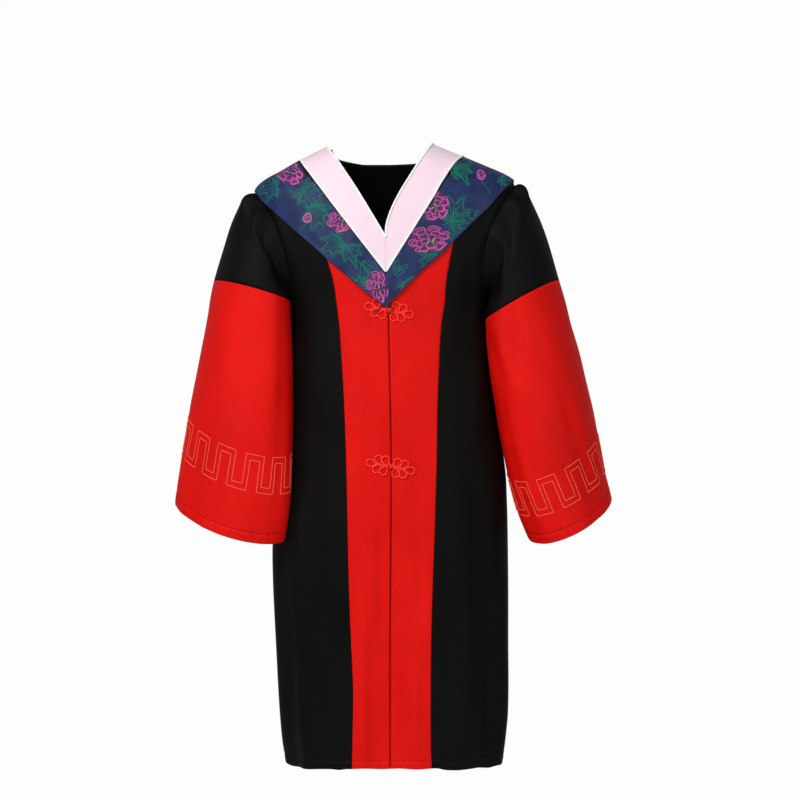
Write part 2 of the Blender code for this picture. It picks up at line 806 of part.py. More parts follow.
def build_strands():
    lift = 2 * FROG_CORD_R + 2 * SEAM_GAP + STRAND_R
    for word, (x0, z0, x1, z1) in STRANDS.items():
        points = []
        for i in range(STRAND_STEPS + 1):
            t = i / STRAND_STEPS
            x, z = x0 + (x1 - x0) * t, z0 + (z1 - z0) * t
            points.append(on_gown(front_angle(x, z), z, lift))
        cord(f"elastic_{word}", points, STRAND_R, "black_elastic")


def main():
    for old in list(bpy.data.objects):
        bpy.data.objects.remove(old)
    collection = bpy.data.collections.new("graduation_gown")
    bpy.context.scene.collection.children.link(collection)
    build_body()
    build_sleeves()
    build_hood()
    build_frogs()
    build_strands()


main()
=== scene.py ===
"""Looks for the graduation gown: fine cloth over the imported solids, stitching, brocade and studio light."""

import math

import bpy
import numpy as np
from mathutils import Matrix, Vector


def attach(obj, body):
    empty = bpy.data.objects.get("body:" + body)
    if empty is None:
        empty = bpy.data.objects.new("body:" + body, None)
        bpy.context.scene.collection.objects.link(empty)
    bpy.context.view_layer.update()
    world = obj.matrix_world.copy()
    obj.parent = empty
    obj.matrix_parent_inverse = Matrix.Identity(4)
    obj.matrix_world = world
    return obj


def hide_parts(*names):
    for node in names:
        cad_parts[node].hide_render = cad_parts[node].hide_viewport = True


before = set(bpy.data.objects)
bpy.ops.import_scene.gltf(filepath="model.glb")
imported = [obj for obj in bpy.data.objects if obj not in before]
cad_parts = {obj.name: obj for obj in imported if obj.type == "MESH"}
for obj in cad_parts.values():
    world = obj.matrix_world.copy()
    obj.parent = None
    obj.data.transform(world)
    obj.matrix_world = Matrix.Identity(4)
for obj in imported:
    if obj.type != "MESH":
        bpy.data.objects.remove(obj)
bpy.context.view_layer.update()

MM = 0.001
rng = np.random.default_rng(11)

# ---- the gown's shape, as in the part's source, in millimetres ----

CLOTH_SHOWN = 0.9
HOOD_CLOTH = 1.8
HOOD_OVER_GOWN = 3.4

# Girth: height, half width left, half width right, half depth front, half depth back
GIRTH = [
    (14, 94, 69, 60, 60),
    (4, 116, 92, 70, 70),
    (-9, 142, 123, 78, 79),
    (-24, 172, 160, 85, 87),
    (-41, 201, 200, 92, 95),
    (-55, 227, 227, 97, 101),
    (-70, 245, 237, 102, 106),
    (-85, 250, 241, 107, 110),
    (-110, 247, 241, 113, 114),
    (-150, 236, 233, 120, 119),
    (-200, 220, 219, 126, 123),
    (-275, 191, 188, 131, 127),
    (-400, 188, 188, 135, 131),
    (-520, 192, 206, 138, 135),
    (-600, 200, 217, 140, 138),
    (-640, 204, 219, 141, 139),
    (-700, 216, 221, 142, 141),
    (-760, 219, 222, 143, 143),
    (-900, 213, 222, 145, 146),
    (-1050, 203, 221, 147, 149),
    (-1100, 198, 216, 148, 150),
    (-1145, 190, 209, 149, 150),
]
ROUNDNESS = 2.3
HEM_Z = -1145
SIDE_LIFT = 9
SIDE_SPAN = 32
SIDE_DEPTH = 130
FACING_LIFT = 3.0
ARMHOLE = {
    -1: {"top": -78, "bottom": -275, "front_cut": 33, "back_cut": 30},
    1: {"top": -66, "bottom": -275, "front_cut": 40, "back_cut": 30},
}
CUT_SHAPE = 0.75
BODY_STITCH = 15
HEM_STITCH = 20
SLIT = [(-163, -4), (-300, -2), (-574, 3), (-907, 1), (-1145, 1)]
FACING_SEAM = [
    (-18, 164, 146),
    (-55, 152, 140),
    (-100, 140, 132),
    (-150, 128, 122),
    (-200, 116, 112),
    (-233, 106, 106),
    (-275, 99, 103),
    (-322, 93, 96),
    (-380, 89, 92),
    (-460, 84, 89),
    (-574, 80, 87),
    (-720, 77, 83),
    (-832, 74, 79),
    (-906, 71, 77),
    (-1000, 67, 76),
    (-1073, 68, 76),
    (-1145, 69, 77),
]
NECK_EDGE = [(-163, -12, 4), (-130, -33, 6), (-85, -61, 24), (-40, -88, 50), (-10, -108, 70)]
NECK_SIDE_Z = {-1: 1, 1: 6}
BACK_NECK = {
    -1: [(180, -22), (166, -22), (156, -18), (144, -13), (128, -2), (112, 5)],
    1: [(180, -22), (164, -20), (152, -9), (139, 1), (118, 9)],
}
# Long soft folds: angle, half width in degrees, rise at the hem, height where it starts
FLUTES = [
    (-76, 13, 6, -520),
    (-50, 11, 6, -430),
    (-31, 9, -4, -620),
    (-6, 6, -6, -700),
    (12, 8, 3, -640),
    (33, 10, 5, -480),
    (52, 10, -5, -560),
    (72, 12, 7, -500),
    (104, 13, 6, -430),
    (126, 12, -7, -330),
    (147, 11, 8, -260),
    (166, 9, -6, -330),
    (-172, 9, 7, -270),
    (-153, 10, -6, -360),
    (-132, 12, 8, -300),
    (-108, 12, -5, -420),
]
# Sleeves: place and height of the outer line, place and height of the inner line,
# half depth, how far forward, drop of the front edge, lean of the front towards the body
SLEEVE = {
    -1: [
        (250, -78, 192, -275, 74, 0, 0, 0),
        (270, -84, 191, -277, 80, 0, 0, 4),
        (286, -113, 190, -279, 86, 2, -3, 10),
        (302, -158, 189, -281, 90, 4, -4, 16),
        (325, -241, 187, -284, 94, 8, -3, 22),
        (337, -313, 185, -370, 97, 12, 1, 26),
        (350, -390, 184, -450, 99, 16, 3, 30),
        (366, -475, 184, -530, 101, 19, 6, 32),
        (380, -555, 184, -605, 102, 21, 14, 32),
        (391, -618, 185, -661, 103, 22, 22, 30),
        (398, -663, 190, -706, 103, 22, 30, 26),
    ],
    1: [
        (239, -66, 190, -275, 80, 0, 0, 0),
        (251, -68, 188, -281, 84, 0, 0, 4),
        (268, -99, 186, -288, 88, 2, 0, 10),
        (291, -158, 182, -298, 92, 4, 0, 14),
        (315, -240, 177, -320, 95, 8, 0, 18),
        (334, -315, 186, -385, 97, 12, 2, 22),
        (353, -390, 196, -450, 99, 15, 6, 24),
        (373, -475, 208, -525, 101, 17, 12, 22),
        (391, -555, 222, -600, 102, 18, 18, 18),
        (404, -614, 239, -661, 103, 18, 24, 16),
        (414, -652, 259, -709, 103, 18, 30, 14),
    ],
}
SEAM_SHARE = 0.4
SLEEVE_LENGTH = 640
SLEEVE_GIRTH = 640
SLEEVE_CLEARANCE = 4
CUFF_SAG = 9
# Sleeve folds: place round the sleeve, half width, rise, deepest place along it, half length
SLEEVE_FOLDS = {
    -1: [(0.16, 0.05, -2, 0.75, 0.5), (0.30, 0.07, 4, 0.85, 0.45), (0.41, 0.05, -4, 0.9, 0.35),
         (0.62, 0.06, 5, 0.8, 0.5), (0.76, 0.06, -5, 0.7, 0.5), (0.90, 0.05, 4, 0.9, 0.5),
         (0.44, 0.04, 5, 0.12, 0.14)],
    1: [(0.14, 0.05, -2, 0.8, 0.5), (0.28, 0.06, 2, 0.6, 0.5), (0.38, 0.05, -4, 0.85, 0.4),
        (0.60, 0.06, 5, 0.75, 0.5), (0.74, 0.06, -5, 0.8, 0.5), (0.88, 0.05, 4, 0.8, 0.5),
        (0.45, 0.03, 6, 0.10, 0.13), (0.38, 0.03, 5, 0.14, 0.15)],
}
# Hood lines on the front, from the middle up to the shoulder: place, height
HOOD_INNER = {
    -1: [(-6.5, -163), (-33, -119), (-58, -78), (-83, -40), (-97, -19), (None, 4)],
    1: [(-6.5, -163), (-6, -142), (2, -115), (17, -84), (40, -46), (58, -18), (None, 10)],
}
HOOD_SEAM = {
    -1: [(-6.5, -226), (-46, -175), (-87, -122), (-126, -71), (-152, -37), (None, -20)],
    1: [(-6.5, -226), (30, -167), (62, -116), (82, -84), (96, -59), (119, -26), (None, -14)],
}
HOOD_OUTER = {
    -1: [(-6.5, -292), (-43, -263), (-78, -233), (-112, -204), (-145, -174), (-179, -144), (-211, -114),
         (-232, -95), (None, -76)],
    1: [(-6.5, -292), (6.5, -277), (35, -248), (66, -218), (99, -189), (127, -160), (153, -134),
        (174, -114), (191, -96), (205, -79), (None, -57)],
}
HOOD_BACK_INNER_Z = -34
HOOD_BACK_SEAM_Z = -66
HOOD_BACK_OUTER_Z = -205
HOOD_BACK_CURVE = 2.2
TIP_LIFT = 3.4
LIFT_FROM_Z = -222
LIFT_FULL_Z = -264
PIPING_R = 1.6
PIPING_HALF = 1.8

FROG_CORD_R = 1.7
SHOWN_CORD_R = 1.5
FROG_TILT = 11
FROG_HEIGHTS = {"upper": -297, "lower": -585}
FROG_MIDDLE_X = {"upper": -1, "lower": 2}
KNOT_R = 4.2
BAR_START = 6.5
STRANDS = {"left": (-14, -288, -22, -303), "right": (1, -288, 7, -300)}
STRAND_R = 1.05

# ---- creases: start place and height, end place and height, half width, rise ----

FRONT_CREASES = [
    (-232, -100, -196, -250, 9, -3.0),
    (-222, -96, -176, -215, 12, 3.0),
    (-205, -118, -160, -330, 14, 2.0),
    (-186, -262, -150, -420, 11, -2.0),
    (-168, -300, -120, -520, 16, 1.8),
    (-190, -330, -172, -560, 12, 2.4),
    (-140, -430, -128, -780, 18, -2.2),
    (-172, -620, -158, -1000, 15, 2.6),
    (-112, -640, -104, -1120, 13, 2.0),
    (-184, -820, -176, -1140, 12, -2.8),
    (-136, -900, -128, -1145, 10, -2.4),
    (-62, -300, -56, -640, 12, 1.4),
    (-40, -350, -30, -760, 14, -1.6),
    (-22, -640, -10, -980, 10, -2.6),
    (-3, -640, -1, -1400, 27, -8.5),
    (-50, -860, -47, -1300, 12, 2.4),
    (-46, -760, -50, -1145, 12, 1.8),
    (24, -420, 34, -700, 12, 1.5),
    (54, -715, 60, -880, 11, -2.8),
    (28, -960, 33, -1090, 11, -3.2),
    (44, -930, 47, -1120, 9, 2.4),
    (-14, -700, -16, -900, 8, -2.2),
    (52, -520, 44, -900, 16, -2.2),
    (22, -860, 16, -1130, 9, 2.0),
    (62, -940, 60, -1145, 9, -1.6),
    (200, -92, 176, -170, 8, 3.2),
    (192, -110, 168, -240, 9, -2.6),
    (178, -150, 164, -330, 12, 2.6),
    (150, -200, 132, -420, 15, -1.6),
    (176, -320, 150, -560, 12, 2.0),
    (120, -420, 118, -800, 16, 2.0),
    (160, -520, 168, -860, 14, -2.4),
    (196, -560, 196, -900, 11, 2.6),
    (142, -760, 150, -1140, 13, 2.6),
    (104, -880, 106, -1145, 10, -2.2),
    (186, -880, 182, -1145, 11, -3.0),
]
BACK_CREASES = [
    (-214, -120, -150, -240, 14, 3.0),
    (-190, -150, -110, -330, 16, -2.4),
    (214, -120, 146, -250, 14, 3.2),
    (186, -160, 104, -340, 16, -2.4),
    (-120, -215, -116, -700, 10, 3.0),
    (-92, -215, -90, -620, 9, -2.6),
    (-60, -212, -64, -820, 11, 2.8),
    (-24, -212, -26, -700, 10, -2.4),
    (14, -212, 18, -860, 12, 3.0),
    (52, -212, 50, -640, 10, -2.6),
    (86, -215, 92, -780, 11, 2.8),
    (122, -215, 124, -660, 10, -2.4),
    (-160, -420, -150, -1000, 14, 2.6),
    (-120, -760, -126, -1145, 12, -3.0),
    (-40, -820, -46, -1145, 12, 3.0),
    (44, -800, 52, -1145, 13, -3.0),
    (110, -820, 104, -1145, 12, 3.0),
    (164, -460, 160, -1040, 14, -2.6),
]
# Hem and shoulder gathers of the sleeves: place round it and share along it at each end, half width, rise.
# The place round is 0 on the inner line, 0.25 in front, 0.5 on the outer line, 0.75 behind.
SLEEVE_CREASES = {
    -1: [
        (0.47, 0.00, 0.40, 0.22, 0.020, 4.0), (0.42, 0.00, 0.36, 0.20, 0.018, -3.2),
        (0.38, 0.01, 0.31, 0.26, 0.020, 3.2), (0.32, 0.02, 0.25, 0.24, 0.018, -2.6),
        (0.53, 0.00, 0.58, 0.22, 0.020, 3.6), (0.59, 0.00, 0.66, 0.24, 0.020, -3.0),
        (0.13, 0.10, 0.22, 0.38, 0.030, -3.4), (0.06, 0.16, 0.16, 0.44, 0.026, 3.0),
        (0.20, 0.40, 0.24, 0.80, 0.035, 2.2), (0.30, 0.42, 0.31, 0.95, 0.040, -2.0),
        (0.38, 0.44, 0.37, 0.98, 0.035, 2.6), (0.13, 0.60, 0.14, 1.02, 0.028, 1.6),
        (0.24, 0.80, 0.25, 1.03, 0.022, 2.2), (0.34, 0.86, 0.34, 1.03, 0.018, -1.8),
        (0.46, 0.60, 0.45, 1.03, 0.022, -1.2), (0.60, 0.40, 0.58, 0.90, 0.035, 2.8),
        (0.70, 0.44, 0.72, 1.02, 0.035, -2.8), (0.80, 0.40, 0.79, 1.00, 0.035, 3.0),
        (0.90, 0.44, 0.90, 1.00, 0.030, -2.8),
    ],
    1: [
        (0.48, 0.00, 0.42, 0.22, 0.018, 4.2), (0.44, 0.00, 0.37, 0.24, 0.016, -3.6),
        (0.40, 0.00, 0.32, 0.28, 0.018, 4.0), (0.34, 0.01, 0.26, 0.30, 0.018, -3.0),
        (0.28, 0.03, 0.20, 0.34, 0.020, 3.0), (0.54, 0.00, 0.60, 0.24, 0.020, 3.6),
        (0.60, 0.00, 0.68, 0.24, 0.020, -3.0), (0.12, 0.12, 0.20, 0.40, 0.028, -3.2),
        (0.08, 0.40, 0.24, 0.72, 0.030, -3.0), (0.12, 0.40, 0.32, 0.84, 0.034, 3.4),
        (0.24, 0.40, 0.25, 0.62, 0.030, -4.4), (0.25, 0.56, 0.33, 0.80, 0.032, -3.6),
        (0.33, 0.42, 0.44, 0.80, 0.032, 2.4),
        (0.16, 0.70, 0.20, 1.03, 0.026, 2.4), (0.26, 0.76, 0.27, 1.03, 0.024, -2.4),
        (0.36, 0.80, 0.37, 1.03, 0.022, 2.0), (0.45, 0.62, 0.45, 1.03, 0.022, -1.0),
        (0.60, 0.42, 0.60, 0.96, 0.035, 2.8), (0.70, 0.44, 0.70, 1.02, 0.035, -2.8),
        (0.80, 0.42, 0.81, 1.00, 0.035, 3.0), (0.90, 0.44, 0.89, 1.00, 0.030, -2.8),
    ],
}
# Soft dents in the hood's satin, in a front view
HOOD_CREASES = [
    (-150, -60, -128, -118, 9, -1.6), (-128, -78, -100, -150, 8, 1.4), (-96, -112, -84, -190, 8, -1.4),
    (-70, -150, -62, -214, 8, 1.2), (-44, -186, -40, -244, 7, -1.2), (-206, -66, -160, -104, 9, 1.4),
    (-20, -232, -22, -270, 6, 1.0), (18, -200, 10, -258, 6, -1.4), (40, -170, 48, -232, 8, 1.2),
    (74, -120, 82, -196, 8, -1.4), (104, -80, 110, -170, 9, 1.4), (136, -50, 138, -130, 9, -1.6),
    (164, -50, 174, -92, 8, 1.6),
]

# ---- shape functions on arrays ----


def column(table, index):
    """A smooth function through one column of a table keyed by its first column."""
    rows = sorted(table)
    keys = np.array([row[0] for row in rows], float)
    values = np.array([row[index] for row in rows], float)
    lows = np.maximum(np.arange(len(keys)) - 1, 0)
    highs = np.minimum(np.arange(len(keys)) + 1, len(keys) - 1)
    slopes = (values[highs] - values[lows]) / (keys[highs] - keys[lows])

    def at(where):
        where = np.clip(np.asarray(where, float), keys[0], keys[-1])
        i = np.clip(np.searchsorted(keys, where, side="right") - 1, 0, len(keys) - 2)
        step = keys[i + 1] - keys[i]
        t = (where - keys[i]) / step
        t2, t3 = t * t, t * t * t
        return (
            (2 * t3 - 3 * t2 + 1) * values[i]
            + (t3 - 2 * t2 + t) * step * slopes[i]
            + (3 * t2 - 2 * t3) * values[i + 1]
            + (t3 - t2) * step * slopes[i + 1]
        )

    return at


half_left, half_right = column(GIRTH, 1), column(GIRTH, 2)
depth_front, depth_back = column(GIRTH, 3), column(GIRTH, 4)
slit_x = column(SLIT, 1)
seam_left, seam_right = column(FACING_SEAM, 1), column(FACING_SEAM, 2)


def smooth(t):
    t = np.clip(t, 0.0, 1.0)
    return t * t * (3 - 2 * t)


def bell(t):
    return np.where(np.abs(t) >= 1, 0.0, 0.5 + 0.5 * np.cos(np.pi * t))


def unit(v):
    return v / np.maximum(np.linalg.norm(v, axis=-1, keepdims=True), 1e-9)


def half_width(side, z):
    return half_left(z) if side < 0 else half_right(z)


def gown_base(angle, z):
    turn = np.radians(angle)
    sine, cosine = np.sin(turn), np.cos(turn)
    power = 2 / ROUNDNESS
    wide = np.where(sine < 0, half_left(z), half_right(z))
    deep = np.where(cosine > 0, depth_front(z), depth_back(z))
    x = np.sign(sine) * wide * np.abs(sine) ** power
    y = -np.sign(cosine) * deep * np.abs(cosine) ** power
    return np.stack([x, y, z + 0 * x], -1)


def gown_normal(angle, z):
    turn, rise = 1.5, 3.0
    along = gown_base(angle + turn, z) - gown_base(angle - turn, z)
    up = gown_base(angle, z + rise) - gown_base(angle, z - rise)
    return unit(np.cross(along, up))


def flute_rise(angle, z):
    rise = 0.0
    for middle, half, depth, start in FLUTES:
        apart = (angle - middle + 180) % 360 - 180
        rise = rise + depth * bell(apart / half) * smooth((start - z) / (start - HEM_Z))
    return rise


def crease_rise(x, z, creases):
    """Soft ridges and troughs along lines, fading out at both ends."""
    rise = np.zeros(np.broadcast(x, z).shape)
    for x0, z0, x1, z1, wide, height in creases:
        dx, dz = x1 - x0, z1 - z0
        long = dx * dx + dz * dz
        t = np.clip(((x - x0) * dx + (z - z0) * dz) / long, 0, 1)
        off = (x - x0 - t * dx) ** 2 + (z - z0 - t * dz) ** 2
        rise += height * np.exp(-off / (wide * wide)) * np.sin(np.pi * t) ** 0.7
    return rise


def ripple(u, v, size, seed):
    """A low, even unevenness with no direction of its own."""
    local = np.random.default_rng(seed)
    total = 0.0
    for _ in range(7):
        heading = local.uniform(0, 2 * math.pi)
        length = size * local.uniform(0.7, 1.6)
        phase = local.uniform(0, 2 * math.pi)
        wave = 2 * math.pi / length
        total = total + np.sin(wave * (np.cos(heading) * u + np.sin(heading) * v) + phase)
    return total / 3.5


def hem_relief(up, along, line, drawn):
    """A turned hem: puffed below its stitching, drawn in along it, with small uneven puckers."""
    pucker = np.sin(along * 0.42 + 2.2 * np.sin(along * 0.061)) * (0.6 + 0.4 * np.sin(along * 0.113 + 1))
    groove = -drawn * np.exp(-(((up - line) / 1.8) ** 2))
    puff = 0.5 * smooth((line - up) / 4) * smooth(up / 3)
    return groove + puff + 0.8 * pucker * np.exp(-(((up - line) / 8) ** 2))


def drape(angle, z):
    """Everything that the cloth of the body rises over its plain form."""
    base = gown_base(angle, z)
    x, y = base[..., 0], base[..., 1]
    front = crease_rise(x, z, FRONT_CREASES)
    back = crease_rise(x, z, BACK_CREASES)
    rise = flute_rise(angle, z) + np.where(y < 0, front, back)
    rise = rise + 0.55 * ripple(angle * 2.2, z * 0.45, 70, 3) * smooth((-120 - z) / 120)
    return rise + hem_relief(z - HEM_Z - side_lift(angle, z), angle * 2.2, BODY_STITCH, 0.6)


def on_gown(angle, z, out=0.0):
    return gown_base(angle, z) + gown_normal(angle, z) * (drape(angle, z) + out)[..., None]


def front_angle(x, z):
    x, z = np.asarray(x, float), np.asarray(z, float)
    wide = np.where(x < 0, half_left(z), half_right(z))
    share = np.minimum(1.0, np.abs(x) / wide)
    return np.sign(x) * np.degrees(np.arcsin(share ** (ROUNDNESS / 2)))


def armhole(side, part, share):
    hole = ARMHOLE[side]
    share = np.asarray(share, float)
    turn = np.pi * share
    middle = (hole["top"] + hole["bottom"]) / 2
    half = (hole["top"] - hole["bottom"]) / 2
    cut = hole[part + "_cut"] * np.abs(np.sin(turn)) ** CUT_SHAPE
    angle = 90 - cut if part == "front" else 90 + cut
    return side * angle, middle - half * np.cos(turn)


def along_line(points, share):
    """Places at shares of the length of a line of (angle, height) points."""
    points = np.array(points, float)
    steps = np.hypot(*(points[1:] - points[:-1]).T)
    lengths = np.concatenate([[0], np.cumsum(steps)])
    at = np.asarray(share, float) * lengths[-1]
    return np.interp(at, lengths, points[:, 0]), np.interp(at, lengths, points[:, 1])


def straight(first, last):
    return lambda share: (
        first[0] + (last[0] - first[0]) * share,
        first[1] + (last[1] - first[1]) * share,
    )


def patch(low, high, inner, outer, rows, columns):
    """Angles and heights between four edges given as functions of a share."""
    v = np.linspace(0, 1, rows + 1)[:, None]
    u = np.linspace(0, 1, columns + 1)[None, :]
    result = []
    for k in (0, 1):
        corners = [low(0.0)[k], low(1.0)[k], high(0.0)[k], high(1.0)[k]]
        value = (1 - v) * low(u)[k] + v * high(u)[k] + (1 - u) * inner(v)[k] + u * outer(v)[k]
        value = value - (1 - u) * (1 - v) * corners[0] - u * (1 - v) * corners[1]
        result.append(value - (1 - u) * v * corners[2] - u * v * corners[3])
    return result


def side_lift(angle, z):
    """How much higher than level the cloth near the hem is beside a side seam."""
    apart = np.abs(angle) % 180 - 90
    seen = (angle + 180) % 360 - 180
    uneven = FACING_LIFT * smooth((27 - np.abs(seen)) / 6) + 0.7 * np.sin(seen * 0.31 + 1.4 * np.sin(seen * 0.083))
    return (SIDE_LIFT * bell(apart / SIDE_SPAN) + uneven) * np.maximum(0.0, 1 - (z - HEM_Z) / SIDE_DEPTH)


def panel(inner, outer, bottom, upper, rows, columns):
    """Rows up to the armhole's bottom, finer in the hem, then the upper patch."""
    hem = np.linspace(HEM_Z, HEM_Z + HEM_FINE, HEM_ROWS + 1)[:-1]
    z = np.concatenate([hem, np.linspace(HEM_Z + HEM_FINE, bottom, rows + 1)[:-1]])[:, None]
    u = np.linspace(0, 1, columns + 1)[None, :]
    angle = inner(z) + (outer(z) - inner(z)) * u
    height = z + side_lift(angle, z)
    return np.vstack([angle, upper[0]]), np.vstack([height, upper[1]])


def slit_angle(z):
    return front_angle(slit_x(z), z)


def seam_angle(side, z):
    return front_angle(side * (seam_left(z) if side < 0 else seam_right(z)), z)


LOWER_ROWS = 112
UPPER_ROWS = 44
HEM_ROWS = 24
HEM_FINE = 30
SLIT_HALF = 0.9
# The part of the left facing that runs on under the right one: distance from its edge, depth
UNDERLAP = [(0.3, 2.0), (0.6, 4.0), (1.2, 5.6), (3.0, 6.2), (6.5, 6.0), (11.0, 5.6)]
# Side seam allowance: its width in degrees, how far inside the surface it lies
ALLOWANCE = 2.6
ALLOWANCE_DEPTH = 1.2
UNDERLAP_TOP = -230
FACING_COLUMNS = 28
FRONT_COLUMNS = 56
HALF_BACK_COLUMNS = 72


def seam_line(side):
    bottom, top = ARMHOLE[side]["bottom"], FACING_SEAM[0][0]
    line = [(float(seam_angle(side, z)), z) for z, *_ in reversed(FACING_SEAM) if bottom <= z < top]
    return line + [(side * 90, top)]


def neck_line(side):
    bottom = ARMHOLE[side]["bottom"]
    line = [(float(slit_angle(bottom)), bottom), (float(slit_angle(-200)), -200)]
    for z, left, right in NECK_EDGE:
        line.append((float(front_angle(left if side < 0 else right, z)), z))
    return line + [(side * 90, NECK_SIDE_Z[side])]


def facing_panel(side):
    bottom = ARMHOLE[side]["bottom"]
    inner, outer = neck_line(side), seam_line(side)
    upper = patch(
        straight(inner[0], outer[0]), straight(inner[-1], outer[-1]),
        lambda v: along_line(inner, v), lambda v: along_line(outer, v), UPPER_ROWS, FACING_COLUMNS,
    )
    return panel(slit_angle, lambda z: seam_angle(side, z), bottom, upper, LOWER_ROWS, FACING_COLUMNS)


def facing_points(side):
    """The facing; at the slit its edge is a little open, and the left one runs on deeper under the right one."""
    angle, z = facing_panel(side)
    from_slit = np.arange(angle.shape[1])[None, :]
    below = smooth((UNDERLAP_TOP - z) / 60)
    x = gown_base(angle, z)[..., 0] + side * SLIT_HALF * below * np.maximum(0.0, 1 - from_slit / 3)
    angle = np.where(from_slit < 3, front_angle(x, z), angle)
    out = 0.25 + 0.5 * np.exp(-((from_slit / 2.5) ** 2)) * below
    if side < 0:
        under = np.array(UNDERLAP)[::-1]
        edge_z = z[:, :1] + np.zeros((1, len(under)))
        deep = 0.3 + 0.7 * below[:, :1]
        strip = front_angle(x[:, :1] + under[None, :, 0] * deep, edge_z)
        angle, z = np.hstack([strip, angle]), np.hstack([edge_z, z])
        out = np.hstack([0.1 - under[None, :, 1] * deep, out])
    return pull_edges(on_gown(angle, z, out), 0.15, ("col0", "col1", "row1"))


def front_panel(side):
    bottom = ARMHOLE[side]["bottom"]
    inner = seam_line(side)
    upper = patch(
        straight(inner[0], (side * 90, bottom)), straight(inner[-1], (side * 90, ARMHOLE[side]["top"])),
        lambda v: along_line(inner, v), lambda v: armhole(side, "front", v), UPPER_ROWS, FRONT_COLUMNS,
    )
    return panel(lambda z: seam_angle(side, z), lambda z: side * 90 + 0 * z, bottom, upper, LOWER_ROWS, FRONT_COLUMNS)


def side_allowance(side, angle, z):
    """The front's seam allowance, a strip that runs on inside the back at the side seam."""
    below = smooth((ARMHOLE[side]["bottom"] - 6 - z) / 12)
    strip = [on_gown(angle - side * 0.03, z, -ALLOWANCE_DEPTH), on_gown(angle + side * ALLOWANCE * below, z, -ALLOWANCE_DEPTH)]
    return np.hstack(strip)


def half_back(side):
    bottom = ARMHOLE[side]["bottom"]
    neck = BACK_NECK[side] + [(90, NECK_SIDE_Z[side]), (90, ARMHOLE[side]["top"])]
    top = [(side * angle, z) for angle, z in neck]
    upper = patch(
        straight((side * 180, bottom), (side * 90, bottom)), lambda u: along_line(top, u),
        straight((side * 180, bottom), (side * 180, BACK_NECK[side][0][1])),
        lambda v: armhole(side, "back", v), UPPER_ROWS, HALF_BACK_COLUMNS,
    )
    return panel(lambda z: side * 180 + 0 * z, lambda z: side * 90 + 0 * z, bottom, upper, LOWER_ROWS, HALF_BACK_COLUMNS)


# ---- sleeves ----


def sleeve_plain(side, turn, share):
    """Sleeve points before folds; turn 0 to 1 round it, share 0 to 1 along it."""
    table = [(i / (len(SLEEVE[side]) - 1), *row) for i, row in enumerate(SLEEVE[side])]
    outer_x, outer_z, inner_x, inner_z, depth, forward, drop, lean = [
        column(table, c)(share) for c in range(1, 9)
    ]
    around = 2 * np.pi * turn
    cosine, sine = np.cos(around), np.sin(around)
    zero = 0 * cosine * share
    x = side * ((outer_x + inner_x) / 2 - (outer_x - inner_x) / 2 * cosine - lean * sine) + zero
    y = -forward - depth * sine + zero
    z = (outer_z + inner_z) / 2 - (outer_z - inner_z) / 2 * cosine - drop * sine + zero
    points = np.stack([x, y, z], -1)

    part_front = armhole(side, "front", 2 * turn)
    part_back = armhole(side, "back", 2 - 2 * turn)
    ahead = turn <= 0.5
    seat_angle = np.where(ahead, part_front[0], part_back[0])
    seat_z = np.where(ahead, part_front[1], part_back[1])
    seat = on_gown(seat_angle, seat_z)
    first = [row[0] for row in [SLEEVE[side]]][0]
    fx = side * ((first[0] + first[2]) / 2 - (first[0] - first[2]) / 2 * cosine)
    fz = (first[1] + first[3]) / 2 - (first[1] - first[3]) / 2 * cosine
    start = np.stack([fx, -first[4] * sine, fz], -1)
    hold = 1 - smooth(share / 0.16)
    points = points + (seat - start) * hold[..., None]

    clear = SLEEVE_CLEARANCE * smooth(share / 0.1)
    wide = half_width(side, points[..., 2]) + clear
    deep = np.where(points[..., 1] < 0, depth_front(points[..., 2]), depth_back(points[..., 2])) + clear
    reach = (np.abs(points[..., 0]) / wide) ** ROUNDNESS + (np.abs(points[..., 1]) / deep) ** ROUNDNESS
    grow = np.where((reach < 1) & (share > 0.02), reach ** (-1 / ROUNDNESS), 1.0)
    points[..., 0] *= grow
    points[..., 1] *= grow
    sag = CUFF_SAG * smooth((share - 0.8) / 0.2) * np.abs(sine)
    points[..., 2] -= sag
    return points


def sleeve_point(side, turn, share, out=0.0):
    """Sleeve points with folds, creases and a little unevenness, moved out along the cloth."""
    turn = np.asarray(turn, float) % 1.0
    share = np.asarray(share, float)
    turn, share = np.broadcast_arrays(turn, share)
    d = 0.004
    here = sleeve_plain(side, turn, share)
    around = sleeve_plain(side, (turn + d) % 1, share) - sleeve_plain(side, (turn - d) % 1, share)
    along = sleeve_plain(side, turn, np.minimum(share + d, 1)) - sleeve_plain(side, turn, np.maximum(share - d, 0))
    normal = unit(np.cross(around, along)) * (1 if side < 0 else -1)
    rise = np.zeros(turn.shape)
    for place, wide, height, deepest, long in SLEEVE_FOLDS[side]:
        apart = (turn - place + 0.5) % 1 - 0.5
        rise += height * bell(apart / wide) * bell((share - deepest) / long)
    for t0, s0, t1, s1, wide, height in SLEEVE_CREASES[side]:
        dt, ds = t1 - t0, s1 - s0
        long = dt * dt + ds * ds
        k = np.clip(((turn - t0) * dt + (share - s0) * ds) / long, 0, 1)
        off = ((turn - t0 - k * dt) / wide) ** 2 + ((share - s0 - k * ds) / (2.2 * wide)) ** 2
        rise += height * np.exp(-off) * np.sin(np.pi * np.clip(k + 0.08, 0, 1)) ** 0.7
    rise += 0.6 * ripple(turn * 640, share * 600, 90, 5 + side) * smooth(share / 0.1)
    up = (1 - share) * SLEEVE_LENGTH
    rise += hem_relief(up, turn * SLEEVE_GIRTH, HEM_STITCH, 0.3)
    return here + normal * (rise + out)[..., None]


# ---- mesh makers ----


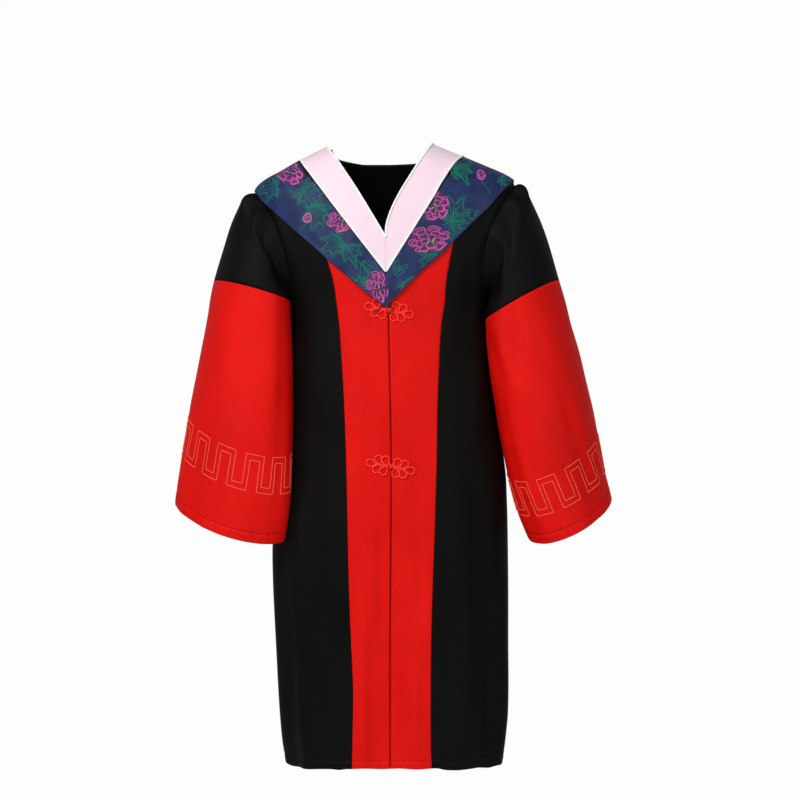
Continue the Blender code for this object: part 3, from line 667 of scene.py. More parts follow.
def mesh_object(name, verts, faces, uvs=None, colours=None):
    mesh = bpy.data.meshes.new(name)
    mesh.from_pydata((np.asarray(verts) * MM).tolist(), [], faces)
    mesh.update()
    loops = np.empty(len(mesh.loops), np.int32)
    mesh.loops.foreach_get("vertex_index", loops)
    if uvs is not None:
        layer = mesh.uv_layers.new(name="UVMap")
        layer.data.foreach_set("uv", np.asarray(uvs, np.float32)[loops].ravel())
    if colours is not None:
        layer = mesh.color_attributes.new("Paint", "FLOAT_COLOR", "POINT")
        layer.data.foreach_set("color", np.asarray(colours, np.float32).ravel())
    mesh.polygons.foreach_set("use_smooth", [True] * len(mesh.polygons))
    made = bpy.data.objects.new(name, mesh)
    bpy.context.scene.collection.objects.link(made)
    return made


def grid_faces(rows, columns, closed=False, flip=False):
    r, c = np.meshgrid(np.arange(rows - 1), np.arange(columns if closed else columns - 1), indexing="ij")
    d = (c + 1) % columns
    quads = np.stack([r * columns + c, r * columns + d, (r + 1) * columns + d, (r + 1) * columns + c], -1)
    quads = quads.reshape(-1, 4)
    return (quads[:, ::-1] if flip else quads).tolist()


def cloth(name, points, material, node, closed=False, flip=False, thickness=CLOTH_SHOWN, colours=None):
    """A thin sheet of cloth over a grid of points, with its texture laid out in metres."""
    rows, columns = points.shape[:2]
    along = np.linalg.norm(np.diff(points, axis=0), axis=-1).mean(axis=1)
    v = np.concatenate([[0], np.cumsum(along)])[:, None] + np.zeros((1, columns))
    step = np.linalg.norm(np.diff(points, axis=1), axis=-1)
    u = np.concatenate([np.zeros((rows, 1)), np.cumsum(step, axis=1)], axis=1)
    u -= u[:, columns // 2][:, None]
    made = mesh_object(
        name, points.reshape(-1, 3), grid_faces(rows, columns, closed, flip),
        np.stack([u, v], -1).reshape(-1, 2) * MM, colours,
    )
    made.data.materials.append(material)
    solid = made.modifiers.new("Thickness", "SOLIDIFY")
    solid.thickness = thickness * MM
    solid.offset = -1
    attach(made, "root")
    if node:
        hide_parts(node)
    return made


def pull_edges(points, gap, edges):
    """Draw edges back a little, so that neighbouring sheets don't run into each other."""
    points = points.copy()
    for name, index, inner in (("row0", (0,), (1,)), ("row1", (-1,), (-2,))):
        if name in edges:
            points[index[0]] += unit(points[inner[0]] - points[index[0]]) * gap
    for name, index, inner in (("col0", 0, 1), ("col1", -1, -2)):
        if name in edges:
            points[:, index] += unit(points[:, inner] - points[:, index]) * gap
    return points


def resample(line, spacing):
    """Points every spacing along a line, with both ends kept."""
    line = np.asarray(line, float)
    steps = np.linalg.norm(np.diff(line, axis=0), axis=1)
    lengths = np.concatenate([[0], np.cumsum(steps)])
    count = max(2, int(round(lengths[-1] / spacing)) + 1)
    at = np.linspace(0, lengths[-1], count)
    return np.stack([np.interp(at, lengths, line[:, k]) for k in range(line.shape[1])], -1)


def tubes(name, lines, material, node=None, sides=6, twist=0.0, pitch=5.0, plies=2):
    """Round threads or cords: each line is (points, normals, half width, height), all made one object."""
    verts, faces, uvs = [], [], []
    start = 0
    for points, normals, half, high in lines:
        points = np.asarray(points, float)
        count = len(points)
        if count < 2:
            continue
        tangent = unit(np.gradient(points, axis=0))
        across = unit(np.cross(tangent, normals))
        up = unit(np.cross(across, tangent))
        run = np.concatenate([[0], np.cumsum(np.linalg.norm(np.diff(points, axis=0), axis=1))])
        angle = np.arange(sides) * 2 * np.pi / sides
        grow = 1 + twist * np.cos(plies * (angle[None, :] - 2 * np.pi * run[:, None] / pitch))
        ends = np.ones(count)
        ends[0] = ends[-1] = 0.55
        scale = grow * ends[:, None]
        ring = (
            points[:, None, :]
            + across[:, None, :] * (np.cos(angle)[None, :] * scale * half)[..., None]
            + up[:, None, :] * (np.sin(angle)[None, :] * scale * high)[..., None]
        )
        verts.append(ring.reshape(-1, 3))
        uvs.append(np.stack([np.repeat(run, sides), np.tile(angle / (2 * np.pi), count)], -1) * [MM, 1])
        faces += [[start + i for i in f] for f in grid_faces(count, sides, closed=True)]
        faces.append([start + i for i in reversed(range(sides))])
        faces.append([start + (count - 1) * sides + i for i in range(sides)])
        start += count * sides
    made = mesh_object(name, np.vstack(verts), faces, np.vstack(uvs))
    made.data.materials.append(material)
    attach(made, "root")
    if node:
        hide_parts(node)
    return made


def stitches(name, paths, surface, material, length=3.6, gap=0.7, half=0.7, high=0.45):
    """Separate stitches along lines; surface gives the points and normals of a line's places."""
    lines = []
    for path in paths:
        fine = resample(path, 0.6)
        points, normals = surface(fine)
        run = np.concatenate([[0], np.cumsum(np.linalg.norm(np.diff(points, axis=0), axis=1))])
        count = max(1, int(run[-1] / (length + gap)))
        for i in range(count):
            at = np.linspace(0, length, 5) + i * run[-1] / count
            p = np.stack([np.interp(at, run, points[:, k]) for k in range(3)], -1)
            n = unit(np.stack([np.interp(at, run, normals[:, k]) for k in range(3)], -1))
            arch = np.sin(np.linspace(0, np.pi, 5))[:, None]
            lines.append((p + n * (arch * 0.55 - 0.15) * high, n, half, high))
    return tubes(name, lines, material, sides=6)


# ---- materials ----


class Nodes:
    """Short names for building a shader."""

    def __init__(self, name):
        self.material = bpy.data.materials.new(name)
        self.material.use_nodes = True
        self.tree = self.material.node_tree
        self.shader = self.tree.nodes["Principled BSDF"]

    def add(self, kind, **values):
        node = self.tree.nodes.new(kind)
        for key, value in values.items():
            if key in node.inputs:
                node.inputs[key].default_value = value
            else:
                setattr(node, key, value)
        return node

    def link(self, source, target):
        self.tree.links.new(source, target)

    def set(self, **values):
        for key, value in values.items():
            self.shader.inputs[key.replace("_", " ")].default_value = value

    def scaled_uv(self, x, y):
        uv = self.add("ShaderNodeTexCoord")
        mapping = self.add("ShaderNodeMapping")
        mapping.inputs["Scale"].default_value = (x, y, 1)
        self.link(uv.outputs["UV"], mapping.inputs["Vector"])
        return mapping.outputs["Vector"]

    def noise(self, vector, scale, detail=3.0):
        noise = self.add("ShaderNodeTexNoise")
        noise.inputs["Scale"].default_value = scale
        noise.inputs["Detail"].default_value = detail
        self.link(vector, noise.inputs["Vector"])
        return noise.outputs["Fac"]

    def ramp(self, factor, low, high, at=(0.3, 0.7)):
        ramp = self.add("ShaderNodeValToRGB")
        ramp.color_ramp.elements[0].position = at[0]
        ramp.color_ramp.elements[0].color = (*low, 1)
        ramp.color_ramp.elements[1].position = at[1]
        ramp.color_ramp.elements[1].color = (*high, 1)
        self.link(factor, ramp.inputs["Fac"])
        return ramp.outputs["Color"]

    def spread(self, factor, low, high):
        spread = self.add("ShaderNodeMapRange")
        spread.inputs["From Min"].default_value = 0.3
        spread.inputs["From Max"].default_value = 0.7
        spread.inputs["To Min"].default_value = low
        spread.inputs["To Max"].default_value = high
        self.link(factor, spread.inputs["Value"])
        return spread.outputs["Result"]

    def spread_linear(self, factor, low, high):
        spread = self.add("ShaderNodeMapRange")
        spread.inputs["To Min"].default_value = low
        spread.inputs["To Max"].default_value = high
        self.link(factor, spread.inputs["Value"])
        return spread.outputs["Result"]

    def math(self, operation, a, b):
        node = self.add("ShaderNodeMath", operation=operation)
        for socket, value in zip(node.inputs, (a, b)):
            if isinstance(value, (int, float)):
                socket.default_value = value
            else:
                self.link(value, socket)
        return node.outputs[0]

    def wave(self, vector, direction, scale):
        wave = self.add("ShaderNodeTexWave", bands_direction=direction)
        wave.inputs["Scale"].default_value = scale
        self.link(vector, wave.inputs["Vector"])
        return wave.outputs["Fac"]

    def bump(self, height, strength, distance):
        bump = self.add("ShaderNodeBump")
        bump.inputs["Strength"].default_value = strength
        bump.inputs["Distance"].default_value = distance
        self.link(height, bump.inputs["Height"])
        self.link(bump.outputs["Normal"], self.shader.inputs["Normal"])


def woven(name, low, high, roughness, sheen, specular, weave=900.0, strength=0.25, slub=0.5):
    """A plain woven cloth: warp and weft, slubs along the warp and patches of softer sheen."""
    made = Nodes(name)
    flat = made.scaled_uv(1, 1)
    warp = made.wave(flat, "X", weave)
    weft = made.wave(flat, "Y", weave)
    threads = made.math("ADD", warp, weft)
    slubs = made.noise(made.scaled_uv(900, 60), 1.0, 4.0)
    patches = made.noise(made.scaled_uv(9, 5), 1.0, 2.0)
    mixed = made.math("ADD", made.math("MULTIPLY", slubs, 0.45), made.math("MULTIPLY", patches, 0.55))
    made.link(made.ramp(mixed, low, high, (0.35, 0.65)), made.shader.inputs["Base Color"])
    made.link(made.spread(patches, roughness - 0.06, roughness + 0.06), made.shader.inputs["Roughness"])
    height = made.math("ADD", made.math("MULTIPLY", threads, 0.5), made.math("MULTIPLY", slubs, slub))
    made.bump(height, strength, 0.0003)
    made.set(Specular_IOR_Level=specular, Sheen_Weight=sheen, Sheen_Roughness=0.45)
    made.shader.inputs["Sheen Tint"].default_value = (*[min(1.0, c * 1.2 + 0.05) for c in high], 1)
    return made


BLACK = woven("Black_cloth", (0.0018, 0.0021, 0.0018), (0.0038, 0.0042, 0.0036), 0.52, 0.0, 0.06)
RED = woven("Red_cloth", (0.60, 0.0024, 0.0011), (0.79, 0.0062, 0.0034), 0.52, 0.0, 0.09)
PINK = woven("Pink_satin", (0.84, 0.640, 0.735), (0.88, 0.69, 0.785), 0.45, 0.0, 0.2, 1100, 0.15, 0.3)


def navy_satin():
    made = Nodes("Navy_brocade")
    flat = made.scaled_uv(1, 1)
    threads = made.math("ADD", made.wave(flat, "X", 1100), made.wave(flat, "Y", 500))
    streaks = made.noise(made.scaled_uv(1100, 45), 1.0, 4.0)
    patches = made.noise(made.scaled_uv(30, 17), 1.0, 2.0)
    mixed = made.math("ADD", made.math("MULTIPLY", streaks, 0.5), made.math("MULTIPLY", patches, 0.5))
    # The lighter noise patches are partly the brocade's own uneven tone and partly painted sheen, standing in for the
    # satin's soft highlights.
    navy_tone_and_painted_sheen = made.ramp(mixed, (0.0065, 0.0135, 0.052), (0.022, 0.043, 0.150), (0.38, 0.64))
    paint = made.add("ShaderNodeAttribute", attribute_name="Paint")
    mix = made.add("ShaderNodeMix", data_type="RGBA")
    made.link(paint.outputs["Alpha"], mix.inputs["Factor"])
    made.link(navy_tone_and_painted_sheen, mix.inputs[6])
    made.link(paint.outputs["Color"], mix.inputs[7])
    made.link(mix.outputs[2], made.shader.inputs["Base Color"])
    made.link(made.spread(patches, 0.34, 0.46), made.shader.inputs["Roughness"])
    made.bump(made.math("ADD", threads, streaks), 0.18, 0.0003)
    made.set(Specular_IOR_Level=0.14, Sheen_Weight=0.0)
    return made


def thread(name, low, high, roughness=0.5, per_metre=700.0, strength=0.5):
    """Twisted thread or cord: slanting plies along its length."""
    made = Nodes(name)
    coordinate = made.scaled_uv(per_metre, 2.0)
    plies = made.wave(coordinate, "DIAGONAL", 0.32)
    fuzz = made.noise(made.scaled_uv(2500, 9), 1.0, 3.0)
    mixed = made.math("ADD", made.math("MULTIPLY", plies, 0.6), made.math("MULTIPLY", fuzz, 0.4))
    made.link(made.ramp(mixed, low, high), made.shader.inputs["Base Color"])
    made.bump(mixed, strength, 0.0004)
    made.set(Roughness=roughness, Specular_IOR_Level=0.14, Sheen_Weight=0.0)
    return made


NAVY = navy_satin()
WHITE_PIPING = thread("White_piping", (0.93, 0.93, 0.93), (0.98, 0.98, 0.98), 0.5, 500, 0.12)
RED_THREAD = thread("Red_thread", (0.90, 0.075, 0.045), (1.0, 0.165, 0.10), 0.45, 900)
# Hem thread: the stitching's red, painted darker than the cloth to stand in for the shade in the stitched groove.
RED_HEM_THREAD_PAINTED_SHADE = thread("Red_hem_thread_painted_shade", (0.30, 0.003, 0.002), (0.46, 0.005, 0.004), 0.55, 900)
RED_CORD = thread("Red_cord", (0.82, 0.018, 0.011), (1.0, 0.050, 0.033), 0.40, 300, 0.4)
BLACK_THREAD = thread("Black_thread", (0.006, 0.0065, 0.007), (0.014, 0.015, 0.016), 0.6, 900)
BLACK_ELASTIC = thread("Black_elastic", (0.006, 0.0065, 0.007), (0.016, 0.017, 0.018), 0.6, 600)
PINK_THREAD = thread("Pink_thread", (0.52, 0.075, 0.27), (0.74, 0.15, 0.42), 0.42, 700)
TEAL_THREAD = thread("Teal_thread", (0.004, 0.13, 0.085), (0.015, 0.25, 0.165), 0.42, 700)
LIME_THREAD = thread("Lime_thread", (0.42, 0.50, 0.05), (0.66, 0.72, 0.12), 0.42, 700)

# ---- body panels ----

body_sheets = []
SIDES = ((-1, "left"), (1, "right"))
for side, word in SIDES:
    facing = cloth(f"Facing_{word}", facing_points(side), RED.material, f"facing_{word}", flip=side < 0)
    body_sheets.append((facing, f"facing_{word}"))
    angle, z = front_panel(side)
    points = pull_edges(on_gown(angle, z, 0.1 + 0 * z), 0.15, ("col0", "col1", "row1"))
    points = np.hstack([points, side_allowance(side, angle[:, -1:], z[:, -1:])])
    front = cloth(f"Front_{word}", points, BLACK.material, f"front_{word}", flip=side < 0)
    body_sheets.append((front, f"front_{word}"))

left_angle, left_z = half_back(-1)
right_angle, right_z = half_back(1)
angle = np.hstack([left_angle[:, ::-1], right_angle[:, 1:]])
z = np.hstack([left_z[:, ::-1], right_z[:, 1:]])
points = pull_edges(on_gown(angle, z, 0.1 + 0 * z), 0.15, ("col0", "col1", "row1"))
back = cloth("Back", points, BLACK.material, "back", flip=True)
body_sheets.append((back, "back"))

# ---- sleeves ----

AROUND = 176
for side, word in SIDES:
    turn = (np.arange(AROUND) / AROUND)[None, :]
    upper_share = np.linspace(0.0, SEAM_SHARE, 50)[:, None]
    lower_share = np.concatenate([np.linspace(SEAM_SHARE, 0.94, 76), np.linspace(0.94, 1.0, 33)[1:]])[:, None]
    upper_points = pull_edges(sleeve_point(side, turn, upper_share, 0.4), 0.2, ("row0", "row1"))
    lower_points = pull_edges(sleeve_point(side, turn, lower_share, 0.4), 0.2, ("row0",))
    upper = cloth(
        f"Upper_sleeve_{word}", upper_points, BLACK.material, f"upper_sleeve_{word}",
        closed=True, flip=side > 0,
    )
    lower = cloth(
        f"Lower_sleeve_{word}", lower_points, RED.material, f"lower_sleeve_{word}",
        closed=True, flip=side > 0,
    )
    body_sheets += [(upper, f"upper_sleeve_{word}"), (lower, f"lower_sleeve_{word}")]

# ---- meander and hem stitching on the sleeves ----

# Meander: number of teeth, place of the first upright, bottom and top above the cuff's edge, lean of the teeth
MEANDER = {-1: (12, 42, 93, 161, 0.04), 1: (10, 17, 54, 120, 0.17)}
RIBBON_SIDE = 8.2
RIBBON_LEVEL = 10.7


class SleeveMap:
    """Places on a sleeve by turn and by height above the cuff, measured along the cloth."""

    def __init__(self, side):
        self.side = side
        self.turns = np.linspace(0, 1, 97)
        self.shares = np.linspace(1.0, 0.5, 120)
        grid = sleeve_plain(side, *np.broadcast_arrays(self.turns[None, :] % 1, self.shares[:, None]))
        step = np.linalg.norm(np.diff(grid, axis=0), axis=-1)
        self.rise = np.vstack([np.zeros((1, 97)), np.cumsum(step, axis=0)])
        self.girth = np.linalg.norm(np.diff(grid, axis=1), axis=-1).sum(axis=1)[30]

    def share(self, turn, height):
        place = (turn % 1) * 96
        i = np.clip(place.astype(int), 0, 95)
        t = place - i
        low = np.array([np.interp(h, self.rise[:, k], self.shares) for h, k in zip(height, i)])
        high = np.array([np.interp(h, self.rise[:, k], self.shares) for h, k in zip(height, i + 1)])
        return low * (1 - t) + high * t

    def surface(self, fine, out=0.5):
        turn, height = fine[:, 0] / self.girth, fine[:, 1]
        share = self.share(turn, height)
        points = sleeve_point(self.side, turn, share, 0.4 + out)
        lower = sleeve_point(self.side, turn, share, 0.4)
        return points, unit(points - lower)


def meander(girth, teeth, start, low, high, lean):
    """Both edges of a ribbon that runs up, across, down and across, with corners a little rounded."""
    pitch = girth / teeth
    edges = []
    for off in (0.5, -0.5):
        wide, rise = off * RIBBON_SIDE, off * RIBBON_LEVEL
        bottom, top = low + RIBBON_LEVEL / 2 + rise, high - RIBBON_LEVEL / 2 + rise
        path = []
        for i in range(teeth + 1):
            up, down = start + i * pitch - wide, start + (i + 0.5) * pitch + wide
            path += [(up, bottom), (up, top), (down, top), (down, bottom)]
        path = np.array(path[: 4 * teeth + 1])
        path[:, 0] -= lean * (path[:, 1] - (low + high) / 2)
        edges.append(rounded(path, 1.6))
    return edges


def rounded(path, radius):
    """A line with each corner cut by a small arc."""
    path = [np.array(p, float) for p in path]
    line = [path[0]]
    for before, corner, after in zip(path, path[1:], path[2:]):
        a = corner + unit(before - corner) * radius
        b = corner + unit(after - corner) * radius
        line += [a, 0.25 * a + 0.5 * corner + 0.25 * b, b]
    line.append(path[-1])
    return np.array(line)


trims = {"lower_sleeve_left": [], "lower_sleeve_right": []}
for side, word in SIDES:
    place = SleeveMap(side)
    edges = meander(place.girth, *MEANDER[side])
    key = stitches(
        f"Meander_{word}", edges, place.surface, RED_THREAD.material,
        length=4.2, gap=0.3, half=1.0, high=0.65,
    )
    hem_line = np.stack([np.linspace(0, place.girth, 260), np.full(260, HEM_STITCH)], -1)
    hem = stitches(
        f"Cuff_stitch_{word}", [hem_line], place.surface, RED_HEM_THREAD_PAINTED_SHADE.material,
        length=3.2, gap=1.2, half=0.45, high=0.3,
    )
    trims[f"lower_sleeve_{word}"] += [key, hem]

# ---- hem and seam stitching on the body ----


def gown_surface(out):
    def surface(fine):
        angle, z = fine[:, 0], fine[:, 1] + side_lift(fine[:, 0], fine[:, 1])
        points = on_gown(angle, z, out + 0 * z)
        return points, gown_normal(angle, z)

    return surface


def line_in_mm(angles, heights):
    """A stitched line as (angle, height); resampling works on its real length."""
    return np.stack([angles, heights], -1)


body_trims = {}
for side, word in SIDES:
    z = np.full(120, HEM_Z + BODY_STITCH)
    inner = float(slit_angle(HEM_Z + BODY_STITCH)) + side * 1.0
    outer = float(seam_angle(side, HEM_Z + BODY_STITCH)) - side * 0.8
    red_hem = stitches(
        f"Facing_hem_stitch_{word}", [line_in_mm(np.linspace(inner, outer, 120), z)], gown_surface(0.5),
        RED_HEM_THREAD_PAINTED_SHADE.material, length=3.2, gap=1.2, half=0.45, high=0.3,
    )
    z = np.full(120, HEM_Z + BODY_STITCH)
    black_hem = stitches(
        f"Front_hem_stitch_{word}", [line_in_mm(np.linspace(outer + side * 2, side * 89.5, 120), z)],
        gown_surface(0.4), BLACK_THREAD.material, length=3.2, gap=1.2, half=0.45, high=0.3,
    )
    body_trims[f"facing_{word}"] = [red_hem]
    body_trims[f"front_{word}"] = [black_hem]
z = np.full(400, HEM_Z + BODY_STITCH)
back_hem = stitches(
    "Back_hem_stitch", [line_in_mm(np.linspace(90.5, 269.5, 400), z)], gown_surface(0.4),
    BLACK_THREAD.material, length=3.2, gap=1.2, half=0.45, high=0.3,
)
body_trims["back"] = [back_hem]

# ---- hood ----

HOOD_ROWS_FRONT = 150
HOOD_ROWS_BACK = 90


def hood_out(z):
    return HOOD_OVER_GOWN + TIP_LIFT * smooth((LIFT_FROM_Z - z) / (LIFT_FROM_Z - LIFT_FULL_Z))


def curve_through(points, share):
    """Places at shares of a smooth curve's points."""
    points = np.array(points, float)
    at = np.asarray(share, float) * (len(points) - 1)
    i = np.clip(at.astype(int), 0, len(points) - 2)
    t = (at - i)[:, None]
    p = points[np.maximum(i - 1, 0)]
    q, r = points[i], points[i + 1]
    s = points[np.minimum(i + 2, len(points) - 1)]
    return q + 0.5 * t * ((r - p) + (2 * p - 5 * q + 4 * r - s) * t + (3 * q - p - 3 * r + s) * t * t)


def hood_line(side, front, back_z):
    """(angle, height) along a hood line from the middle of the front to the centre back."""
    shoulder_z = front[-1][1]
    wide = float(half_width(side, shoulder_z))
    seen = curve_through(front[:-1] + [(side * wide, shoulder_z)], np.linspace(0, 1, 600))
    angle = front_angle(seen[:, 0], seen[:, 1])
    angle[-1] = side * 90
    places = gown_base(angle, seen[:, 1])
    run = np.concatenate([[0], np.cumsum(np.linalg.norm(np.diff(places, axis=0), axis=1))])
    at = np.linspace(0, run[-1], HOOD_ROWS_FRONT + 1)[:-1]
    line = [np.interp(at, run, angle), np.interp(at, run, seen[:, 1])]
    share = np.linspace(0, 1, HOOD_ROWS_BACK + 1)
    fall = np.sin(share * np.pi / 2) ** HOOD_BACK_CURVE
    return (
        np.concatenate([line[0], side * (90 + 90 * share)]),
        np.concatenate([line[1], shoulder_z + (back_z - shoulder_z) * fall]),
    )


def hood_rise(angle, z):
    """The hood's height over the plain gown: its seat, its lift at the point and its satin dents."""
    base = gown_base(angle, z)
    dents = crease_rise(base[..., 0], z, HOOD_CREASES) * np.where(base[..., 1] < 0, 1.0, 0.5)
    return hood_out(z) + HOOD_CLOTH + 0.9 * dents + 0.35 * ripple(base[..., 0], z, 40, 8)


def on_hood(angle, z, out=0.0):
    flutes = flute_rise(angle, z)
    return gown_base(angle, z) + gown_normal(angle, z) * (flutes + hood_rise(angle, z) + out)[..., None]


def band(first, last, columns):
    u = np.linspace(0, 1, columns + 1)[None, :]
    return (
        first[0][:, None] * (1 - u) + last[0][:, None] * u,
        first[1][:, None] * (1 - u) + last[1][:, None] * u,
    )


def inside(points, polygon):
    """Which points (x, z) lie inside a polygon."""
    x, z = points[:, 0], points[:, 1]
    result = np.zeros(len(points), bool)
    for (x0, z0), (x1, z1) in zip(polygon, np.roll(polygon, -1, axis=0)):
        crosses = (z0 > z) != (z1 > z)
        with np.errstate(divide="ignore", invalid="ignore"):
            at = x0 + (z - z0) * (x1 - x0) / (z1 - z0)
        result ^= crosses & (x < at)
    return result


hood_lines = {}
for side, word in SIDES:
    hood_lines[side] = {
        "inner": hood_line(side, HOOD_INNER[side], HOOD_BACK_INNER_Z),
        "seam": hood_line(side, HOOD_SEAM[side], HOOD_BACK_SEAM_Z),
        "outer": hood_line(side, HOOD_OUTER[side], HOOD_BACK_OUTER_Z),
    }

# Flowers of the brocade, drawn from simple loops: place and height of the middle, half width, half height, turn
PEONIES = [
    (72, -166, 40, 25, 12),
    (80, -104, 30, 30, 40),
    (-186, -42, 30, 22, -30),
    (-90, -132, 24, 22, 20),
    (-22, -256, 20, 34, 6),
]
BUDS = [(-150, -126, 9, -20), (168, -48, 9, 15)]
# Leaf sprays: place and height of the foot, heading in degrees, length, number of leaves
SPRAYS = [
    (-204, -66, 200, 40, 3),
    (-160, -74, -40, 50, 4),
    (-128, -104, -110, 46, 4),
    (-88, -166, -150, 44, 3),
    (-76, -176, -70, 40, 3),
    (-48, -206, -60, 46, 2),
    (-44, -250, 190, 34, 4),
    (112, -132, 60, 50, 4),
    (112, -142, 10, 54, 4),
    (74, -192, -80, 46, 4),
    (116, -36, 20, 42, 4),
    (130, -30, -70, 34, 3),
    (160, -138, 70, 30, 2),
    (206, -52, -30, 26, 3),
    (26, -244, -40, 34, 3),
    (10, -232, 60, 34, 2),
]
STEMS = [
    [(-148, -134), (-160, -146), (-166, -158)],
    [(-96, -156), (-70, -190), (-44, -222), (-14, -262)],
    [(-92, -160), (-62, -200), (-30, -234), (-10, -256)],
    [(167, -58), (178, -72), (186, -84)],
    [(96, -140), (112, -134), (128, -120)],
    [(84, -188), (78, -206), (62, -226)],
    [(-196, -60), (-176, -82), (-160, -98)],
]


def turned(points, middle, degrees):
    turn = math.radians(degrees)
    c, s = math.cos(turn), math.sin(turn)
    points = np.asarray(points, float)
    return np.stack(
        [middle[0] + c * points[:, 0] - s * points[:, 1], middle[1] + s * points[:, 0] + c * points[:, 1]], -1
    )


def petal(heading, foot, tip, wide, seed):
    """One petal of a round flower of radius 1: narrow at its foot, broad and wavy at its edge."""
    t = np.linspace(0, 1, 30)
    reach = foot + (tip - foot) * (1 - (2 * t - 1) ** 4) * (1 + 0.08 * np.sin(11 * t + seed))
    turn = heading + wide * (2 * t - 1) * (0.6 + 0.4 * np.sin(np.pi * t)) + 0.05 * np.sin(7 * t + 2 * seed)
    return np.stack([reach * np.cos(turn), reach * np.sin(turn)], -1)


# Rings of petals: number, foot, tip, half width in radians
PETAL_RINGS = [(6, 0.60, 1.0, 0.60), (6, 0.58, 0.88, 0.46), (5, 0.40, 0.68, 0.74), (4, 0.26, 0.48, 0.88)]


def peony(x, z, wide, high, turn, seed):
    """Outlines of a peony: rings of wavy petals round a few stamens."""
    pink, lime = [], []
    for k, (count, foot, tip, half) in enumerate(PETAL_RINGS):
        turned_by = 0.0 if k < 2 else 0.45 * k
        for i in range(count):
            heading = 2 * math.pi * (i + 0.12 * math.sin(3 * i + seed)) / count + seed + turned_by
            grow = 1 - 0.10 * (0.5 + 0.5 * math.sin(2.3 * i + seed))
            line = petal(heading, foot, tip * grow, half, seed + i)
            centre = (x + 1.5 * k, z - 1.0 * k)
            pink.append(turned(line * [wide, high], centre, turn))
    for i in range(12):
        heading = 2 * math.pi * i / 12 + seed
        reach = np.linspace(0.05 + 0.05 * (i % 2), 0.20 + 0.07 * math.sin(2 * i), 5)
        stamen = np.stack([wide * reach * np.cos(heading), high * reach * np.sin(heading)], -1)
        lime.append(turned(stamen, (x + 4, z - 3), turn))
    return pink, lime


def bud(x, z, size, turn):
    """A closed bud: an egg-shaped outline and a smaller one inside it."""
    t = np.linspace(0, 2 * np.pi, 40)
    egg = np.stack([0.8 * np.cos(t) * (1 - 0.2 * np.sin(t)), np.sin(t)], -1) * size
    return [turned(egg * grow, (x, z - size * (1 - grow) * 0.3), turn) for grow in (1.0, 0.82, 0.42)]


def leaf(x, z, heading, length, width):
    """A pointed leaf outline with a midrib and two side veins."""
    t = np.linspace(0, 1, 16)
    swell = width * np.sin(np.pi * t ** 0.8) * (1 + 0.16 * np.sin(5 * np.pi * t))
    upper = np.stack([length * t, swell], -1)
    lower = np.stack([length * t, -swell], -1)
    rib = np.stack([length * t[:14], 0.06 * length * np.sin(2 * t[:14])], -1)
    veins = [np.array([(length * a, 0), (length * (a + 0.22), s * width * 0.6)]) for a, s in ((0.3, 1), (0.38, -1))]
    return [turned(line, (x, z), heading) for line in [upper, lower, rib, *veins]]


# Outline of a lobed leaf of length 1 from its foot: direction in degrees, distance
LOBES = [
    (-80, 0.10), (-66, 0.56), (-50, 0.42), (-33, 0.80), (-17, 0.56), (1, 1.0), (17, 0.58), (34, 0.78),
    (50, 0.42), (68, 0.54), (80, 0.10),
]


def lobed_leaf(x, z, heading, length, seed):
    """A broad leaf with five pointed lobes, a second line inside its edge and a vein to each lobe."""
    turn = np.radians([direction for direction, _ in LOBES])
    reach = np.array([distance for _, distance in LOBES]) * (1 + 0.08 * np.sin(np.arange(len(LOBES)) * 2 + seed))
    corners = np.stack([reach * np.cos(turn), reach * np.sin(turn)], -1) * length
    edge = curve_through(corners, np.linspace(0, 1, 70))
    lines = [edge, edge * 0.84 + [0.06 * length, 0]]
    lines += [np.array([(0.04 * length, 0), corner * 0.78]) for corner in corners[1:-1:2]]
    lines += [np.array([corner * 0.34, corner * 0.80]) for corner in corners[2:-2:2]]
    return [turned(line, (x, z), heading) for line in lines]


def spray(x, z, heading, length, count, seed):
    """A lobed leaf with small plain leaves beside it, or only plain ones."""
    lines = []
    if count > 2:
        lines += lobed_leaf(x, z, heading, length * 1.12, seed)
    for i in range(count - 2 if count > 2 else count):
        turn = heading + (1 if i % 2 else -1) * (98 if count > 2 else 20)
        size = length * (0.5 if count > 2 else 0.9)
        lines += leaf(x, z, turn, size, size * 0.2)
    return lines


pink_lines, lime_lines, teal_lines = [], [], []
for k, (x, z, wide, high, turn) in enumerate(PEONIES):
    pink, lime = peony(x, z, wide, high, turn, 0.7 * k)
    pink_lines += pink
    lime_lines += lime
for x, z, size, turn in BUDS:
    pink_lines += bud(x, z, size, turn)
for k, (x, z, heading, length, count) in enumerate(SPRAYS):
    teal_lines += spray(x, z, heading, length, count, k)
for stem in STEMS:
    teal_lines.append(curve_through(stem, np.linspace(0, 1, 24)))


def in_peony(points, grow=1.0):
    result = np.zeros(len(points))
    for x, z, wide, high, turn in PEONIES:
        c, s = math.cos(math.radians(-turn)), math.sin(math.radians(-turn))
        dx, dz = points[:, 0] - x, points[:, 1] - z
        u, v = (c * dx - s * dz) / (wide * grow), (s * dx + c * dz) / (high * grow)
        result = np.maximum(result, 1 - smooth((np.hypot(u, v) - 0.86) / 0.12))
    return result


def hood_threads(lines, polygon, back, half, high, outside_peony=False):
    """Lines (x, height) of thread laid on the hood, kept to the inside of the band."""
    made = []
    for line in lines:
        fine = resample(line, 1.6)
        keep = inside(fine, polygon)
        if outside_peony:
            keep &= in_peony(fine) < 0.4
        start = None
        for i in range(len(fine) + 1):
            if i < len(fine) and keep[i]:
                start = i if start is None else start
            elif start is not None:
                piece = fine[start:i]
                start = None
                if len(piece) > 3:
                    angle = front_angle(piece[:, 0], piece[:, 1])
                    angle = np.where(back, np.sign(angle) * 180 - angle, angle)
                    points = on_hood(angle, piece[:, 1], 0.15)
                    made.append((points, gown_normal(angle, piece[:, 1]), half, high))
    return made


